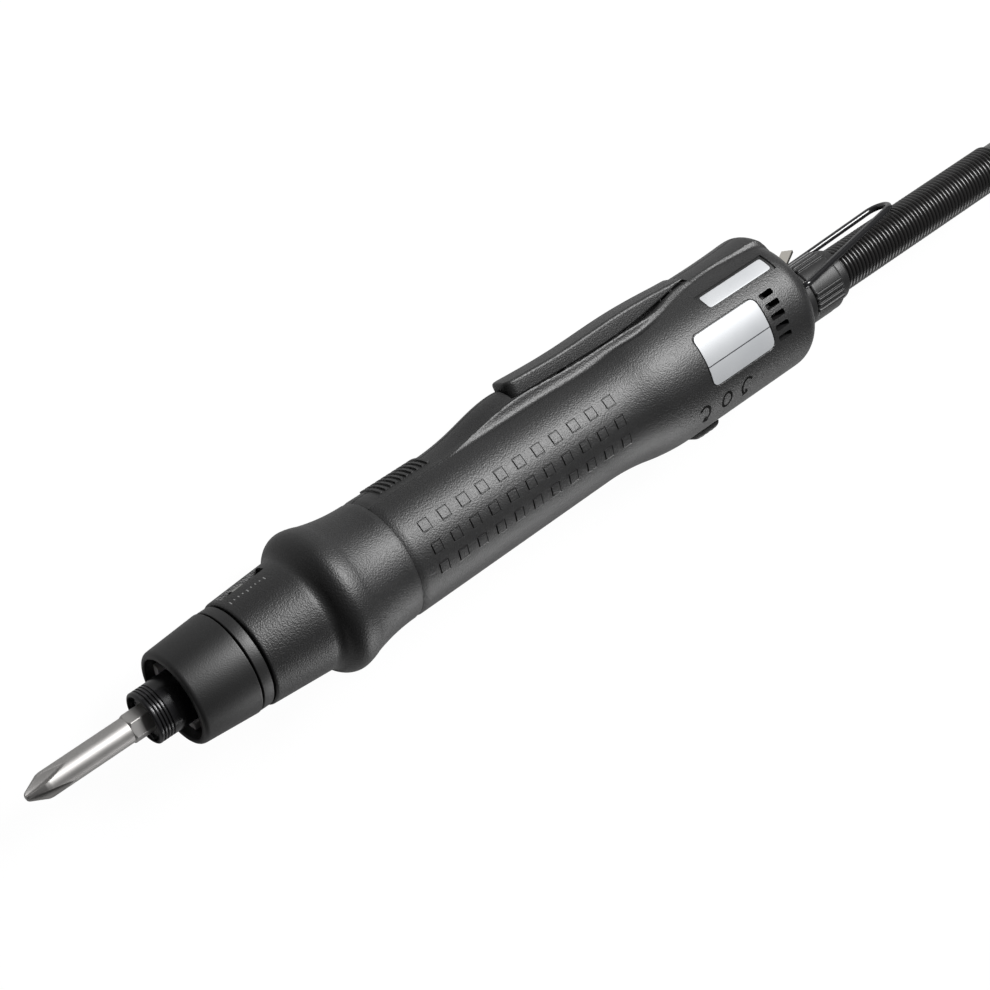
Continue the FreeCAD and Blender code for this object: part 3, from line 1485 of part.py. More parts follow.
def connector_insert():
    """Insulating insert of the connector, with its contact holes."""
    x0 = connector_length
    x1 = x0 + connector_nose_length
    hole = rod(x1 - contact_depth, x1 + overrun, contact_r, contact_circle_r)
    insert = rod(x0, x1, connector_nose_r - connector_wall)
    return set_on_cord_end(insert.cut(Part.makeCompound(around(hole, contact_count))))


def cord_tie():
    """Flat strap round the middle of the hank."""
    middle = (hank_x0 + hank_x1) / 2
    reach = hank_r + cord_r + tie_gap
    low = floor_z + tie_thickness
    top = hank_top_z + cord_r + tie_gap
    half = tie_width / 2
    outer = block(middle - half, middle + half, hank_y - reach - tie_thickness,
                  hank_y + reach + tie_thickness, floor_z, top + tie_thickness)
    return outer.cut(block(middle - half - overrun, middle + half + overrun, hank_y - reach, hank_y + reach,
                           low, top))


def build():
    """All nodes of the part, by name."""
    half_label, half_plain = housing_halves()
    nodes = {
        "driver_bit": driver_bit(),
        "bit_sleeve": bit_sleeve(),
        "sleeve_spring": sleeve_spring(),
        "sleeve_circlip": sleeve_circlip(),
        "lock_ball_1": lock_ball(1),
        "lock_ball_2": lock_ball(-1),
        "output_spindle": output_spindle(),
        "torque_ring": torque_ring(),
        "nose_insert": nose_insert(),
        "spindle_bush": spindle_bush(),
        "spacer_collar": spacer_collar(),
        "torque_nut": torque_nut(),
        "torque_spring": torque_spring(),
        "thrust_washer": thrust_washer(),
        "clutch_plate": clutch_plate(),
        "clutch_balls": clutch_balls_compound(clutch_ball_r),
        "planet_carrier": planet_carrier(),
        "planet_pins": planet_pins(),
        "ring_gear": ring_gear(),
        "sun_pinion": sun_pinion(),
        "gearbox_bearing": ball_bearing(bearing_x0, bearing_x1, gear_ring_r, bearing_hub_r + running_gap,
                                        bearing_race),
        "front_housing": front_housing(),
        "motor_can": motor_can(),
        "motor_cap": motor_cap(),
        "motor_bearing_front": motor_bearing(motor_bearing_front_x()),
        "motor_bearing_rear": motor_bearing(motor_bearing_rear_x()),
        "stator": stator(),
        "rotor": rotor(),
        "housing_label_half": half_label,
        "housing_plain_half": half_plain,
        "housing_screws": housing_screws(),
        "lever": lever(),
        "lever_pin": lever_pin(),
        "lever_spring": lever_spring(),
        "start_switch": start_switch(),
        "switch_plunger": switch_plunger(),
        "direction_slider": direction_slider(),
        "direction_switch": direction_switch(),
        "control_board": control_board(),
        "board_chips": board_chips(),
        "small_label": small_label(),
        "large_label": large_label(),
        "rear_socket": rear_socket(),
        "socket_pins": socket_pins(),
        "plug_body": plug_body(),
        "plug_ring": plug_ring(),
        "hub_clip": hub_clip(),
        "hanger": hanger(),
        "bend_sleeve": bend_sleeve(),
        "cord_lead": cord_lead(),
        "cord_coil": cord_coil(),
        "cord_tie": cord_tie(),
        "connector_body": connector_body(),
        "connector_grip": connector_grip(),
        "connector_insert": connector_insert(),
    }
    for index in range(planet_count):
        nodes["planet_gear_%d" % (index + 1)] = planet_gear(index)
    return nodes


os.makedirs("parts", exist_ok=True)
for name, shape in build().items():
    if not shape.isValid():
        print("not valid:", name)
    print("%-22s solids %2d volume %10.2f" % (name, len(shape.Solids), shape.Volume))
    shape.exportStep(os.path.join("parts", name + ".step"))
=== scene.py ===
"""Inline electric screwdriver: its visible surfaces and finishes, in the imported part's own frame.

Shapes are worked out in millimetres, with X along the drive axis, Y to the lever and Z to the label side. An
angle is measured about the axis from Y toward Z.
"""
import json

import bmesh
import bpy
import numpy as np
from mathutils import Matrix


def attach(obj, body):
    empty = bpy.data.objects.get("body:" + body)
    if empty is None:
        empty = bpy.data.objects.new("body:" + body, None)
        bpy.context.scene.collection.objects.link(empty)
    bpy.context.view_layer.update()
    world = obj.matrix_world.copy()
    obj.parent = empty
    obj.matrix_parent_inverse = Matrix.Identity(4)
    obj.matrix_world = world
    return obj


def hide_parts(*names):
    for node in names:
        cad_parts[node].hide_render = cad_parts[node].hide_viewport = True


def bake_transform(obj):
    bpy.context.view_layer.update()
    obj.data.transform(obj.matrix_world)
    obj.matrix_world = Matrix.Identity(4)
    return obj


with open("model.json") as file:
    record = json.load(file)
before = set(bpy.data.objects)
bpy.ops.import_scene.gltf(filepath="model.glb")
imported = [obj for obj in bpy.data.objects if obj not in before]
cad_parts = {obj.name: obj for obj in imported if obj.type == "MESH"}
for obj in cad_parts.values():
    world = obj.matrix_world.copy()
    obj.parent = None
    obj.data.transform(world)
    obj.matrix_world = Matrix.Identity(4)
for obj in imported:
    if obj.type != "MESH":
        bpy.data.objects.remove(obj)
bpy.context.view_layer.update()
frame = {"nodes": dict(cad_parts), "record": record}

MM = 0.001

# Camera, as the photograph was taken
lens = 80.0
sensor = 36.0
eye = (-0.1554, 0.1402, 0.4484)
eye_right = (0.73112, -0.41394, 0.54233)
eye_up = (0.49269, 0.87021, 0.0)
eye_back = (-0.47194, 0.26720, 0.84017)

# Grid fineness
turn_steps = 144
edge_soft = 0.06         # half the width of a crisp wall in a polar surface
corner_steps = 7
lip = 2.0                # depth to which an open edge turns in
part_gap = 0.05          # half the parting line between the two grip halves
turn_step = np.radians(2.0)
merge_reach, sliver_reach = 1e-6, 1e-7      # in metres

# Stations and radii, repeated from the part's source
nose_x1, nose_front_r, nose_rear_r = 15.2, 11.9, 13.2
nose_edge, nose_opening_r, nose_depth, nose_web_x1 = 1.3, 10.35, 9.4, 11.8
collar_x0, collar_x1, collar_r, groove_r = 15.65, 18.55, 13.05, 12.15
front_x0, clutch_x1, flange_x, seam_x = 19.0, 35.2, 43.0, 60.9
clutch_front_r, clutch_rear_r, flange_r = 13.5, 14.65, 18.45
grip_x1, bulge_x1, rear_x = 125.0, 152.0, 198.0
grip_r, grip_rear_r, rear_r, rear_edge = 15.7, 15.3, 18.15, 6.3
floor_z = -18.45
lever_x0, lever_x1, lever_half = 109.8, 170.5, 4.0
plug_y, socket_x0, socket_x1, socket_r = -3.6, 198.05, 204.4, 8.9
cord_r = 3.0


def smooth_max(a, b, k):
    """The larger of two heights, the valley between them filled: max + k h^2 / 4, h = 1 - |a - b| / k."""
    h = np.maximum(1 - np.abs(a - b) / k, 0)
    return np.maximum(a, b) + k * h * h / 4


def smooth_min(a, b, k):
    """The smaller of two heights, with the ridge between them rounded."""
    return -smooth_max(-a, -b, k)


def within(v, low, high, soft):
    """1 between two edges and 0 outside, with a straight ramp of twice soft at each edge."""
    return np.clip((v - low + soft) / (2 * soft), 0, 1) * np.clip((high - v + soft) / (2 * soft), 0, 1)


def lines(low, high, step, edges=(), soft=edge_soft):
    """Even grid lines from low to high, with one on each side of every edge so that a wall there is crisp."""
    base = np.linspace(low, high, int(round((high - low) / step)) + 1)
    edges = np.asarray(edges, float)
    if len(edges) == 0:
        return base
    clear = np.abs(base[:, None] - edges[None, :]).min(1) > 2.5 * soft
    clear[[0, -1]] = True
    marks = np.concatenate([edges - soft, edges + soft])
    return np.unique(np.concatenate([base[clear], marks[(marks > low) & (marks < high)]]))


def s_rise(x, x0, x1, y0, y1):
    """Two equal arcs, level at y0 and at y1: y0 + R - sqrt(R^2 - d^2), then the same turned round."""
    half_x, half_y = (x1 - x0) / 2, (y1 - y0) / 2
    radius = (half_x ** 2 + half_y ** 2) / (2 * half_y)
    d = np.clip(x - x0, 0, half_x)
    e = np.clip(x1 - x, 0, half_x)
    low = y0 + radius - np.sqrt(radius ** 2 - d ** 2)
    high = y1 - radius + np.sqrt(radius ** 2 - e ** 2)
    return np.where(x < (x0 + x1) / 2, low, high)


def natural_spline(xs, ys, x):
    """Natural cubic spline through a few points: second slopes m by three-term equations, then cubics."""
    xs, ys = np.asarray(xs, float), np.asarray(ys, float)
    h = np.diff(xs)
    n = len(xs)
    system = np.eye(n)
    right = np.zeros(n)
    inner = np.arange(1, n - 1)
    system[inner, inner - 1] = h[:-1]
    system[inner, inner] = 2 * (h[:-1] + h[1:])
    system[inner, inner + 1] = h[1:]
    right[1:-1] = 6 * np.diff(np.diff(ys) / h)
    m = np.linalg.solve(system, right)
    k = np.clip(np.searchsorted(xs, x) - 1, 0, n - 2)
    a, b = (xs[k + 1] - x) / h[k], (x - xs[k]) / h[k]
    return a * ys[k] + b * ys[k + 1] + ((a ** 3 - a) * m[k] + (b ** 3 - b) * m[k + 1]) * h[k] ** 2 / 6


def arc(p, m, q, steps=14):
    """Points of the circle through three points, from the first to the last."""
    p, m, q = (np.asarray(v, float) for v in (p, m, q))
    system = 2 * np.array([m - p, q - p])
    centre = np.linalg.solve(system, np.array([m @ m - p @ p, q @ q - p @ p]))
    angles = np.unwrap([np.arctan2(*(v - centre)[::-1]) for v in (p, m, q)])
    sweep = np.linspace(angles[0], angles[2], steps)
    return centre + np.linalg.norm(p - centre) * np.stack([np.cos(sweep), np.sin(sweep)], -1)


def eased(corners):
    """A closed outline of corners (a, b, cut), each rounded by the curve (1-t)^2 s + 2t(1-t) p + t^2 e."""
    c = np.array(corners, float)
    p, cut = c[:, :2], c[:, 2:]
    before, after = np.roll(p, 1, 0) - p, np.roll(p, -1, 0) - p
    s = p + before / np.linalg.norm(before, axis=1, keepdims=True) * cut
    e = p + after / np.linalg.norm(after, axis=1, keepdims=True) * cut
    t = np.linspace(0, 1, corner_steps)[None, :, None]
    return ((1 - t) ** 2 * s[:, None] + 2 * t * (1 - t) * p[:, None] + t ** 2 * e[:, None]).reshape(-1, 2)


def skin(points, close_u=False, close_v=False):
    """Points of a grid, and its quads as four corner numbers each."""
    rows, columns = points.shape[:2]
    index = np.arange(rows * columns).reshape(rows, columns)
    if close_u:
        index = np.vstack([index, index[:1]])
    if close_v:
        index = np.hstack([index, index[:, :1]])
    quads = np.stack([index[:-1, :-1], index[1:, :-1], index[1:, 1:], index[:-1, 1:]], -1)
    return points.reshape(-1, 3), quads.reshape(-1, 4)


def polar(x, angle, r, y=0.0):
    """Points (x, y + r cos a, r sin a) of a surface given by its radius."""
    x, angle, r = np.broadcast_arrays(x, angle, r)
    return np.stack([x, y + r * np.cos(angle), r * np.sin(angle)], -1)


def turned(outline, y=0.0):
    """A closed outline of (x, r) carried round the axis at height y."""
    x, r = np.asarray(outline, float).T
    angle = np.linspace(0, 2 * np.pi, turn_steps, endpoint=False)
    return skin(polar(x[:, None], angle[None, :], r[:, None], y), close_u=True, close_v=True)


def capped(loops):
    """A skin of loops along a path, closed at both ends on the middle of the last loop."""
    ends = [np.repeat(loops[[k]].mean(1, keepdims=True), loops.shape[1], 1) for k in (0, -1)]
    return skin(np.concatenate([ends[0], loops, ends[1]]), close_v=True)


def placed(name, data):
    """A new object in the scene."""
    obj = bpy.data.objects.new(name, data)
    bpy.context.scene.collection.objects.link(obj)
    return obj


def piece(name, parts, body, finish, replaces=(), sharp=32.0):
    """One mesh from several skins, in metres, with doubles merged, faces turned outwards and crisp edges
    marked. It rides one body; given two bodies and a place at each instead, it stays where it was built."""
    counts = np.cumsum([0] + [len(points) for points, _ in parts])
    points = np.concatenate([points for points, _ in parts]) * MM
    quads = np.concatenate([quads + start for (_, quads), start in zip(parts, counts)])
    mesh = bpy.data.meshes.new(name)
    mesh.from_pydata(points.tolist(), [], quads.tolist())
    work = bmesh.new()
    work.from_mesh(mesh)
    bmesh.ops.remove_doubles(work, verts=work.verts, dist=merge_reach)
    bmesh.ops.dissolve_degenerate(work, edges=work.edges, dist=sliver_reach)
    bmesh.ops.recalc_face_normals(work, faces=work.faces)
    work.to_mesh(mesh)
    work.free()
    mesh.polygons.foreach_set("use_smooth", np.ones(len(mesh.polygons), bool))
    mesh.set_sharp_from_angle(angle=np.radians(sharp))
    mesh.materials.append(finish)
    obj = placed(name, mesh)
    if isinstance(body, str):
        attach(obj, body)
    else:
        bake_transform(obj)
    if replaces:
        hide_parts(*replaces)
    return obj


class Value:
    """A shader socket with arithmetic: every operator adds one Math node to its graph."""

    def __init__(self, graph, socket):
        self.graph, self.socket = graph, socket

    def math(self, operation, first, second=0.0):
        return self.graph.node("ShaderNodeMath", {"operation": operation}, {0: first, 1: second})

    def __add__(self, other):
        return self.math("ADD", self, other)

    def __sub__(self, other):
        return self.math("SUBTRACT", self, other)

    def __rsub__(self, other):
        return self.math("SUBTRACT", other, self)

    def __mul__(self, other):
        return self.math("MULTIPLY", self, other)

    def __lt__(self, other):
        return self.math("LESS_THAN", self, other)

    def __abs__(self):
        return self.math("ABSOLUTE", self)

    __radd__, __rmul__ = __add__, __mul__


class Graph:
    """The node tree of one finish, or of the world."""

    def __init__(self, owner):
        owner.use_nodes = True
        self.owner, self.tree = owner, owner.node_tree
        self.tree.nodes.clear()

    def node(self, kind, settings=None, inputs=None, out=0):
        """A new node: its settings first, then the values or links of its sockets. Gives one output."""
        made = self.tree.nodes.new(kind)
        for key, value in (settings or {}).items():
            if key == "stops":
                for stop, (place, colour) in zip(made.color_ramp.elements, value):
                    stop.position, stop.color = place, colour
            else:
                setattr(made, key, value)
        for key, value in (inputs or {}).items():
            if isinstance(value, Value):
                self.tree.links.new(value.socket, made.inputs[key])
            else:
                made.inputs[key].default_value = value
        return Value(self, made.outputs[out]) if made.outputs else made


def mixed(graph, share, first, second):
    """A colour between two, by a share from 0 to 1."""
    return graph.node("ShaderNodeMix", {"data_type": "RGBA"}, {0: share, 6: (*first, 1), 7: (*second, 1)}, 2)


def seen_share(graph):
    """1 for what the camera sees, straight or through something clear, and 0 for all other light."""
    seen = [graph.node("ShaderNodeLightPath", out=name) for name in ("Is Camera Ray", "Is Transmission Ray")]
    return seen[0] + seen[1]


def finish(name, dark, light, rough, metal=0.0, specular=0.5, grain=0.0006, cloud=0.02, bump=0.0,
           depth=0.00002, stretch=(1, 1, 1)):
    """A moulded, cast or turned surface: colour between two tones by a cloudy noise, roughness from low to
    high by the same noise, and a fine grain of the given size, stretched where it is brushed."""
    graph = Graph(bpy.data.materials.new(name))
    place = graph.node("ShaderNodeTexCoord", out=3)
    scaled = graph.node("ShaderNodeMapping", {}, {"Vector": place, "Scale": stretch})
    clouds = graph.node("ShaderNodeTexNoise", {}, {"Vector": place, "Scale": 1 / cloud, "Detail": 3.0})
    grains = graph.node("ShaderNodeTexNoise", {}, {"Vector": scaled, "Scale": 1 / grain, "Detail": 2.0})
    share = clouds * 0.6 + grains * 0.4
    sockets = {"Base Color": mixed(graph, share, dark, light), "Metallic": metal,
               "Roughness": rough[0] + share * (rough[1] - rough[0]), "Specular IOR Level": specular}
    if bump:
        sockets["Normal"] = graph.node("ShaderNodeBump", {}, {"Strength": bump, "Distance": depth,
                                                              "Height": grains})
    shader = graph.node("ShaderNodeBsdfPrincipled", {}, sockets)
    graph.node("ShaderNodeOutputMaterial", {}, {"Surface": shader})
    return graph.owner


def label_finish(name, dark, light, line_angle):
    """Pale satin foil with one thin dark dividing line along the axis, at an angle about it. At 0 the line
    lies off the label."""
    line_half, line_colour = 0.008, (0.03, 0.03, 0.035, 1)
    graph = Graph(bpy.data.materials.new(name))
    place = graph.node("ShaderNodeTexCoord", out=3)
    clouds = graph.node("ShaderNodeTexNoise", {}, {"Vector": place, "Scale": 90.0, "Detail": 2.0})
    y = graph.node("ShaderNodeSeparateXYZ", {}, {0: place}, 1)
    z = graph.node("ShaderNodeSeparateXYZ", {}, {0: place}, 2)
    angle = graph.node("ShaderNodeMath", {"operation": "ARCTAN2"}, {0: z, 1: y})
    line = abs(angle - np.radians(line_angle)) < line_half
    tone = mixed(graph, clouds, dark, light)
    colour = graph.node("ShaderNodeMix", {"data_type": "RGBA"}, {0: line, 6: tone, 7: line_colour}, 2)
    shader = graph.node("ShaderNodeBsdfPrincipled", {}, {"Base Color": colour, "Metallic": 0.15,
                                                         "Roughness": 0.42 + clouds * 0.1})
    graph.node("ShaderNodeOutputMaterial", {}, {"Surface": shader})
    return graph.owner


grain_plastic = finish("grain_plastic", (0.007, 0.007, 0.007), (0.014, 0.014, 0.0145), (0.4, 0.5),
                       specular=0.6, grain=0.0004, cloud=0.03, bump=0.75, depth=0.00014)
satin_plastic = finish("satin_plastic", (0.007, 0.007, 0.007), (0.013, 0.013, 0.0135), (0.42, 0.5),
                       specular=0.55, grain=0.0003, bump=0.5, depth=0.00007)
black_steel = finish("black_steel", (0.012, 0.012, 0.013), (0.03, 0.03, 0.032), (0.2, 0.3), metal=0.35,
                     specular=0.6, grain=0.0004, bump=0.12, stretch=(6, 0.4, 0.4))
bit_steel = finish("bit_steel", (0.4, 0.39, 0.38), (0.5, 0.49, 0.48), (0.42, 0.54), metal=0.9, grain=0.0005,
                   cloud=0.006, bump=0.12, stretch=(0.25, 3, 3))
bright_steel = finish("bright_steel", (0.48, 0.475, 0.47), (0.62, 0.615, 0.61), (0.2, 0.32), metal=1.0,
                      grain=0.0006, bump=0.06, stretch=(5, 0.5, 0.5))
# Painted light: this grey is set lighter than the metal's own tone, so that the lugs shaded inside the nose
# ring read bright.
grey_metal = finish("grey_metal", (0.6, 0.585, 0.58), (0.72, 0.705, 0.7), (0.42, 0.56), metal=0.1,
                    grain=0.0005, bump=0.25)
rib_rubber = finish("rib_rubber", (0.008, 0.008, 0.008), (0.014, 0.013, 0.013), (0.24, 0.34), specular=0.5,
                    grain=0.0004, bump=0.06)
cable_rubber = finish("cable_rubber", (0.012, 0.012, 0.012), (0.02, 0.02, 0.02), (0.45, 0.6), grain=0.0005,
                      bump=0.2)
wire_black = finish("wire_black", (0.008, 0.008, 0.009), (0.014, 0.014, 0.015), (0.16, 0.26), specular=0.6,
                    grain=0.0007, bump=0.05)
copper = finish("copper", (0.45, 0.2, 0.09), (0.62, 0.3, 0.14), (0.3, 0.42), metal=0.9, grain=0.0004,
                bump=0.3)
board_green = finish("board_green", (0.01, 0.1, 0.04), (0.02, 0.16, 0.07), (0.3, 0.45), grain=0.0008,
                     bump=0.1)
contact_brass = finish("contact_brass", (0.6, 0.45, 0.18), (0.75, 0.6, 0.28), (0.2, 0.3), metal=1.0)
inner_plastic = finish("inner_plastic", (0.045, 0.045, 0.05), (0.07, 0.07, 0.075), (0.45, 0.6), bump=0.15)
nickel = finish("nickel", (0.6, 0.57, 0.52), (0.75, 0.72, 0.66), (0.12, 0.22), metal=1.0, bump=0.05)
pointer_white = finish("pointer_white", (0.2, 0.2, 0.19), (0.28, 0.28, 0.27), (0.4, 0.5), bump=0.08)
# Painted shade: near-black matte colour for the direction marks, standing in for the shade inside engraved
# lines.
groove_shade_black = finish("groove_shade_black", (0.002, 0.002, 0.002), (0.004, 0.004, 0.004), (0.8, 0.9), specular=0.1)
mark_pale = finish("mark_pale", (0.2, 0.2, 0.2), (0.3, 0.3, 0.3), (0.4, 0.5))
large_foil = label_finish("large_foil", (0.34, 0.35, 0.365), (0.4, 0.41, 0.42), 91.0)
small_foil = label_finish("small_foil", (0.42, 0.43, 0.445), (0.48, 0.49, 0.5), 0.0)
finishes = {"body_black": grain_plastic, "nose_black": satin_plastic, "black_steel": black_steel,
            "bright_steel": bright_steel, "bit_steel": bit_steel, "grey_metal": grey_metal,
            "label_silver": large_foil, "cable_rubber": cable_rubber, "copper": copper,
            "board_green": board_green, "brass_contacts": contact_brass, "hanger_black": wire_black,
            "inner_plastic": inner_plastic, "nickel": nickel, "pointer_white": pointer_white}


def stand(right, up, back, place):
    """The matrix of a camera or lamp from its three directions and its place."""
    return Matrix([[*row, 0.0] for row in (right, up, back)] + [[*place, 1.0]]).transposed()


# Camera
camera = placed("camera", bpy.data.cameras.new("camera"))
camera.data.lens, camera.data.sensor_width = lens, sensor
camera.data.clip_start, camera.data.clip_end = 0.01, 10.0
camera.matrix_world = stand(eye_right, eye_up, eye_back, eye)
bpy.context.scene.camera = camera

# Cable: a lead up onto a slim hank of level turns, and the tail to its connector
hank_x0, hank_x1, hank_y, hank_r = 365.2, 468.2, 0.8, 17.0
hank_low_z, hank_step, hank_turns = -14.75, 6.5, 5
hank_top_z = hank_low_z + hank_step * hank_turns
near_y, far_y = hank_y - hank_r, hank_y + hank_r
lead_xs = (287.8, 317.3, 341.7)
tail_xs = (480.5, 495.9, 504.2, 508.2)
lead = np.array([(lead_xs[0], plug_y, 0), (lead_xs[1], plug_y, 0), (lead_xs[2], near_y, hank_top_z)])
tail_z = hank_low_z + hank_step
tail = np.array([(tail_xs[0], near_y, hank_low_z)] + [(x, near_y, tail_z) for x in tail_xs[1:]])
arc_points = 9           # control points for each half turn


def hank_points():
    """Control points of the hank: in turn k the near side and far end lie at top - k step, the far side
    steps down once, and the near end follows; each end is a half circle of points r cos a, r sin a."""
    half = np.linspace(-np.pi / 2, np.pi / 2, arc_points)
    long = hank_x1 - hank_x0
    near_side = np.array([(hank_x0 + long / 3, near_y, 0), (hank_x0 + 2 * long / 3, near_y, 0)])
    far_end = np.stack([hank_x1 + hank_r * np.cos(half), hank_y + hank_r * np.sin(half), 0 * half], -1)
    far_side = np.array([(hank_x1 - long / 4, far_y, 0), (hank_x0 + long / 4, far_y, -hank_step)])
    near_end = np.stack([hank_x0 - hank_r * np.cos(half), hank_y - hank_r * np.sin(half),
                         0 * half - hank_step], -1)
    turn = np.concatenate([near_side, far_end, far_side, near_end])
    levels = hank_top_z - hank_step * np.arange(hank_turns)
    turns = turn[None] + levels[:, None, None] * np.array((0, 0, 1))
    return np.concatenate([turns.reshape(-1, 3), near_side + (0, 0, hank_low_z)])


def cable_curve():
    """The cable's centre line: a NURBS spline of the lead, the hank's points and the tail."""
    points = np.concatenate([lead, hank_points(), tail]) * MM
    curve = bpy.data.curves.new("cable", "CURVE")
    curve.dimensions = "3D"
    curve.bevel_depth, curve.bevel_resolution, curve.resolution_u = cord_r * MM, 5, 6
    curve.use_fill_caps = True
    spline = curve.splines.new("NURBS")
    spline.points.add(len(points) - 1)
    spline.points.foreach_set("co", np.c_[points, np.ones(len(points))].ravel())
    spline.order_u = 3
    spline.use_endpoint_u = True
    curve.materials.append(cable_rubber)
    obj = placed("cable", curve)
    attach(obj, "housing")
    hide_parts("cord_lead", "cord_coil")
    return obj


def cord_strap():
    """Flat strap round the middle of the hank: a rounded oblong loop with a small thickness."""
    gap, half, thick, cut = 0.1, 4.0, 0.6, 2.4
    reach, middle = hank_r + cord_r + gap, (hank_x0 + hank_x1) / 2
    low, high = floor_z + thick, hank_top_z + cord_r + gap
    loops = []
    for grow, side in ((0, half), (thick, half), (thick, -half), (0, -half)):
        loop = eased([(hank_y - reach - grow, low - grow, cut), (hank_y + reach + grow, low - grow, cut),
                      (hank_y + reach + grow, high + grow, cut), (hank_y - reach - grow, high + grow, cut)])
        loops.append(np.stack([np.full(len(loop), middle + side), loop[:, 0], loop[:, 1]], -1))
    return piece("cable_strap", [skin(np.array(loops), close_u=True, close_v=True)], "housing", cable_rubber,
                 ["cord_tie"])


cable = cable_curve()
strap = cord_strap()

# Grip halves
deck_y, deck_x0, deck_flat_x, deck_end_y, deck_mid_y = 14.3, 109.2, 147.43, 18.2, 15.86
ramp_xs = (78.0, 84.0, 90.5, 98.4, 104.4, 109.2, 116.0, 126.0)
ramp_tops = (13.6, 14.9, 16.4, 18.15, 19.12, 19.2, 17.6, 14.3)
ramp_crown_r, ramp_fall = 6.2, 0.3
ramp_line_x0, ramp_line_x1, ramp_line_step = 84.0, 109.0, 1.0
rail_xs = (85.0, 112.0, 122.0, 134.0, 146.0, 157.0, 166.0, 171.0, 178.0, 187.0, 194.0)
rail_tops = (13.4, 17.0, 16.5, 16.4, 16.8, 17.0, 18.1, 17.8, 17.6, 17.7, 17.75)
rail_sides = (6.6, 6.4, 6.6, 7.4, 8.9, 8.6, 6.6, 5.9, 5.4, 6.2, 7.0)
rail_slope, rail_fillet, rail_round, rail_reach = 0.3, 2.0, 0.9, 0.9
deck_fillet, ridge_fillet, lever_gap = 0.5, 0.4, 0.3
trench_angle, trench_end_angle, trench_fade_angle = np.radians((16.5, 13.3, 30.0))
trench_taper_x = 150.0
spine_xs = (171.0, 178.0, 187.0, 194.0)
spine_tops = (18.7, 18.65, 18.95, 19.4)
spine_bow, spine_end_x, spine_end_fall = 15.0, 193.0, 0.05
square_x0, square_step, square_count = 68.1, 6.0, 11
square_xs = square_x0 + square_step * np.arange(square_count)
square_rows = np.radians((68.5, 90.0, 109.5))
square_half, square_height, grip_mean_r = 1.25, 0.14, 15.5
square_groove, square_groove_depth = 0.22, 0.16
rib_x0, rib_step, rib_count = 66.3, 1.62, 10
rib_xs = rib_x0 + rib_step * np.arange(rib_count)
rib_width, rib_height, rib_angle = 0.8, 0.45, np.radians(17.0)
vent_x0, vent_x1, vent_width, vent_depth = 181.0, 185.6, 1.4, 3.6
vent_first, vent_step, vent_count = 67.2, 9.6, 5      # in degrees
vent_angles = np.radians(vent_first + vent_step * np.arange(vent_count))
recess_x0, recess_x1, recess_depth = 166.7, 191.3, 0.4
recess_angles = np.radians((35.6, 53.8))
bed_x0, bed_x1, bed_depth, bed_corner = 156.4, 179.6, 0.25, 2.4
bed_angles = np.radians((62.5, 109.6))
slot_x0, slot_x1, slot_half, slot_depth = 150.35, 169.65, 1.35, 2.2
screws = ((122.8, -10.48, 9.6), (190.5, 9.89, 9.9), (190.5, -9.89, 9.9))
screw_r = 2.35
parting_depth, parting_width = 0.18, 0.16
seam_depth, seam_width = 0.3, 0.2
side_soft = edge_soft / grip_mean_r
rear_soft = edge_soft / rear_r
least_cosine, least_sine, least_lean = 0.05, 0.02, 0.2     # keep a polar radius finite


def deck_height(x):
    """Height of the lever's deck: level, then the arc through its end points and its middle."""
    rise_x = x - deck_flat_x
    full = lever_x1 - deck_flat_x
    middle_rise, end_rise = deck_mid_y - deck_y, deck_end_y - deck_y
    curve = (end_rise - 2 * middle_rise) * 2 / full ** 2
    slope = end_rise / full - curve * full
    return deck_y + np.where(rise_x > 0, slope * rise_x + curve * rise_x ** 2, 0)


def round_body(x):
    """Radius of the turned body: slightly tapered grip, two arcs up to the rear, quarter round at the end."""
    grip = grip_r + (grip_rear_r - grip_r) * (x - seam_x) / (grip_x1 - seam_x)
    body = np.where(x < grip_x1, grip, s_rise(x, grip_x1, bulge_x1, grip_rear_r, rear_r))
    turn = np.clip(x - rear_x + rear_edge, 0, rear_edge)
    return body - rear_edge + np.sqrt(rear_edge ** 2 - turn ** 2)


def crown_radius(angle, top, bow):
    """Polar radius of an arched back y = top - z^2 / (2 bow)."""
    c, s = np.cos(angle), np.sin(angle)
    return 2 * top / np.maximum(c + np.sqrt(c ** 2 + 2 * top * s ** 2 / bow), least_cosine)


def trench_half(x):
    """Half angle of the lever's trench: even, then drawn in evenly to the lever's rear end."""
    return np.interp(x, (trench_taper_x, lever_x1), (trench_angle, trench_end_angle))


def row_of(v, places, half, soft):
    """1 within half of any of several places, else 0."""
    return sum(within(v, place - half, place + half, soft) for place in places)


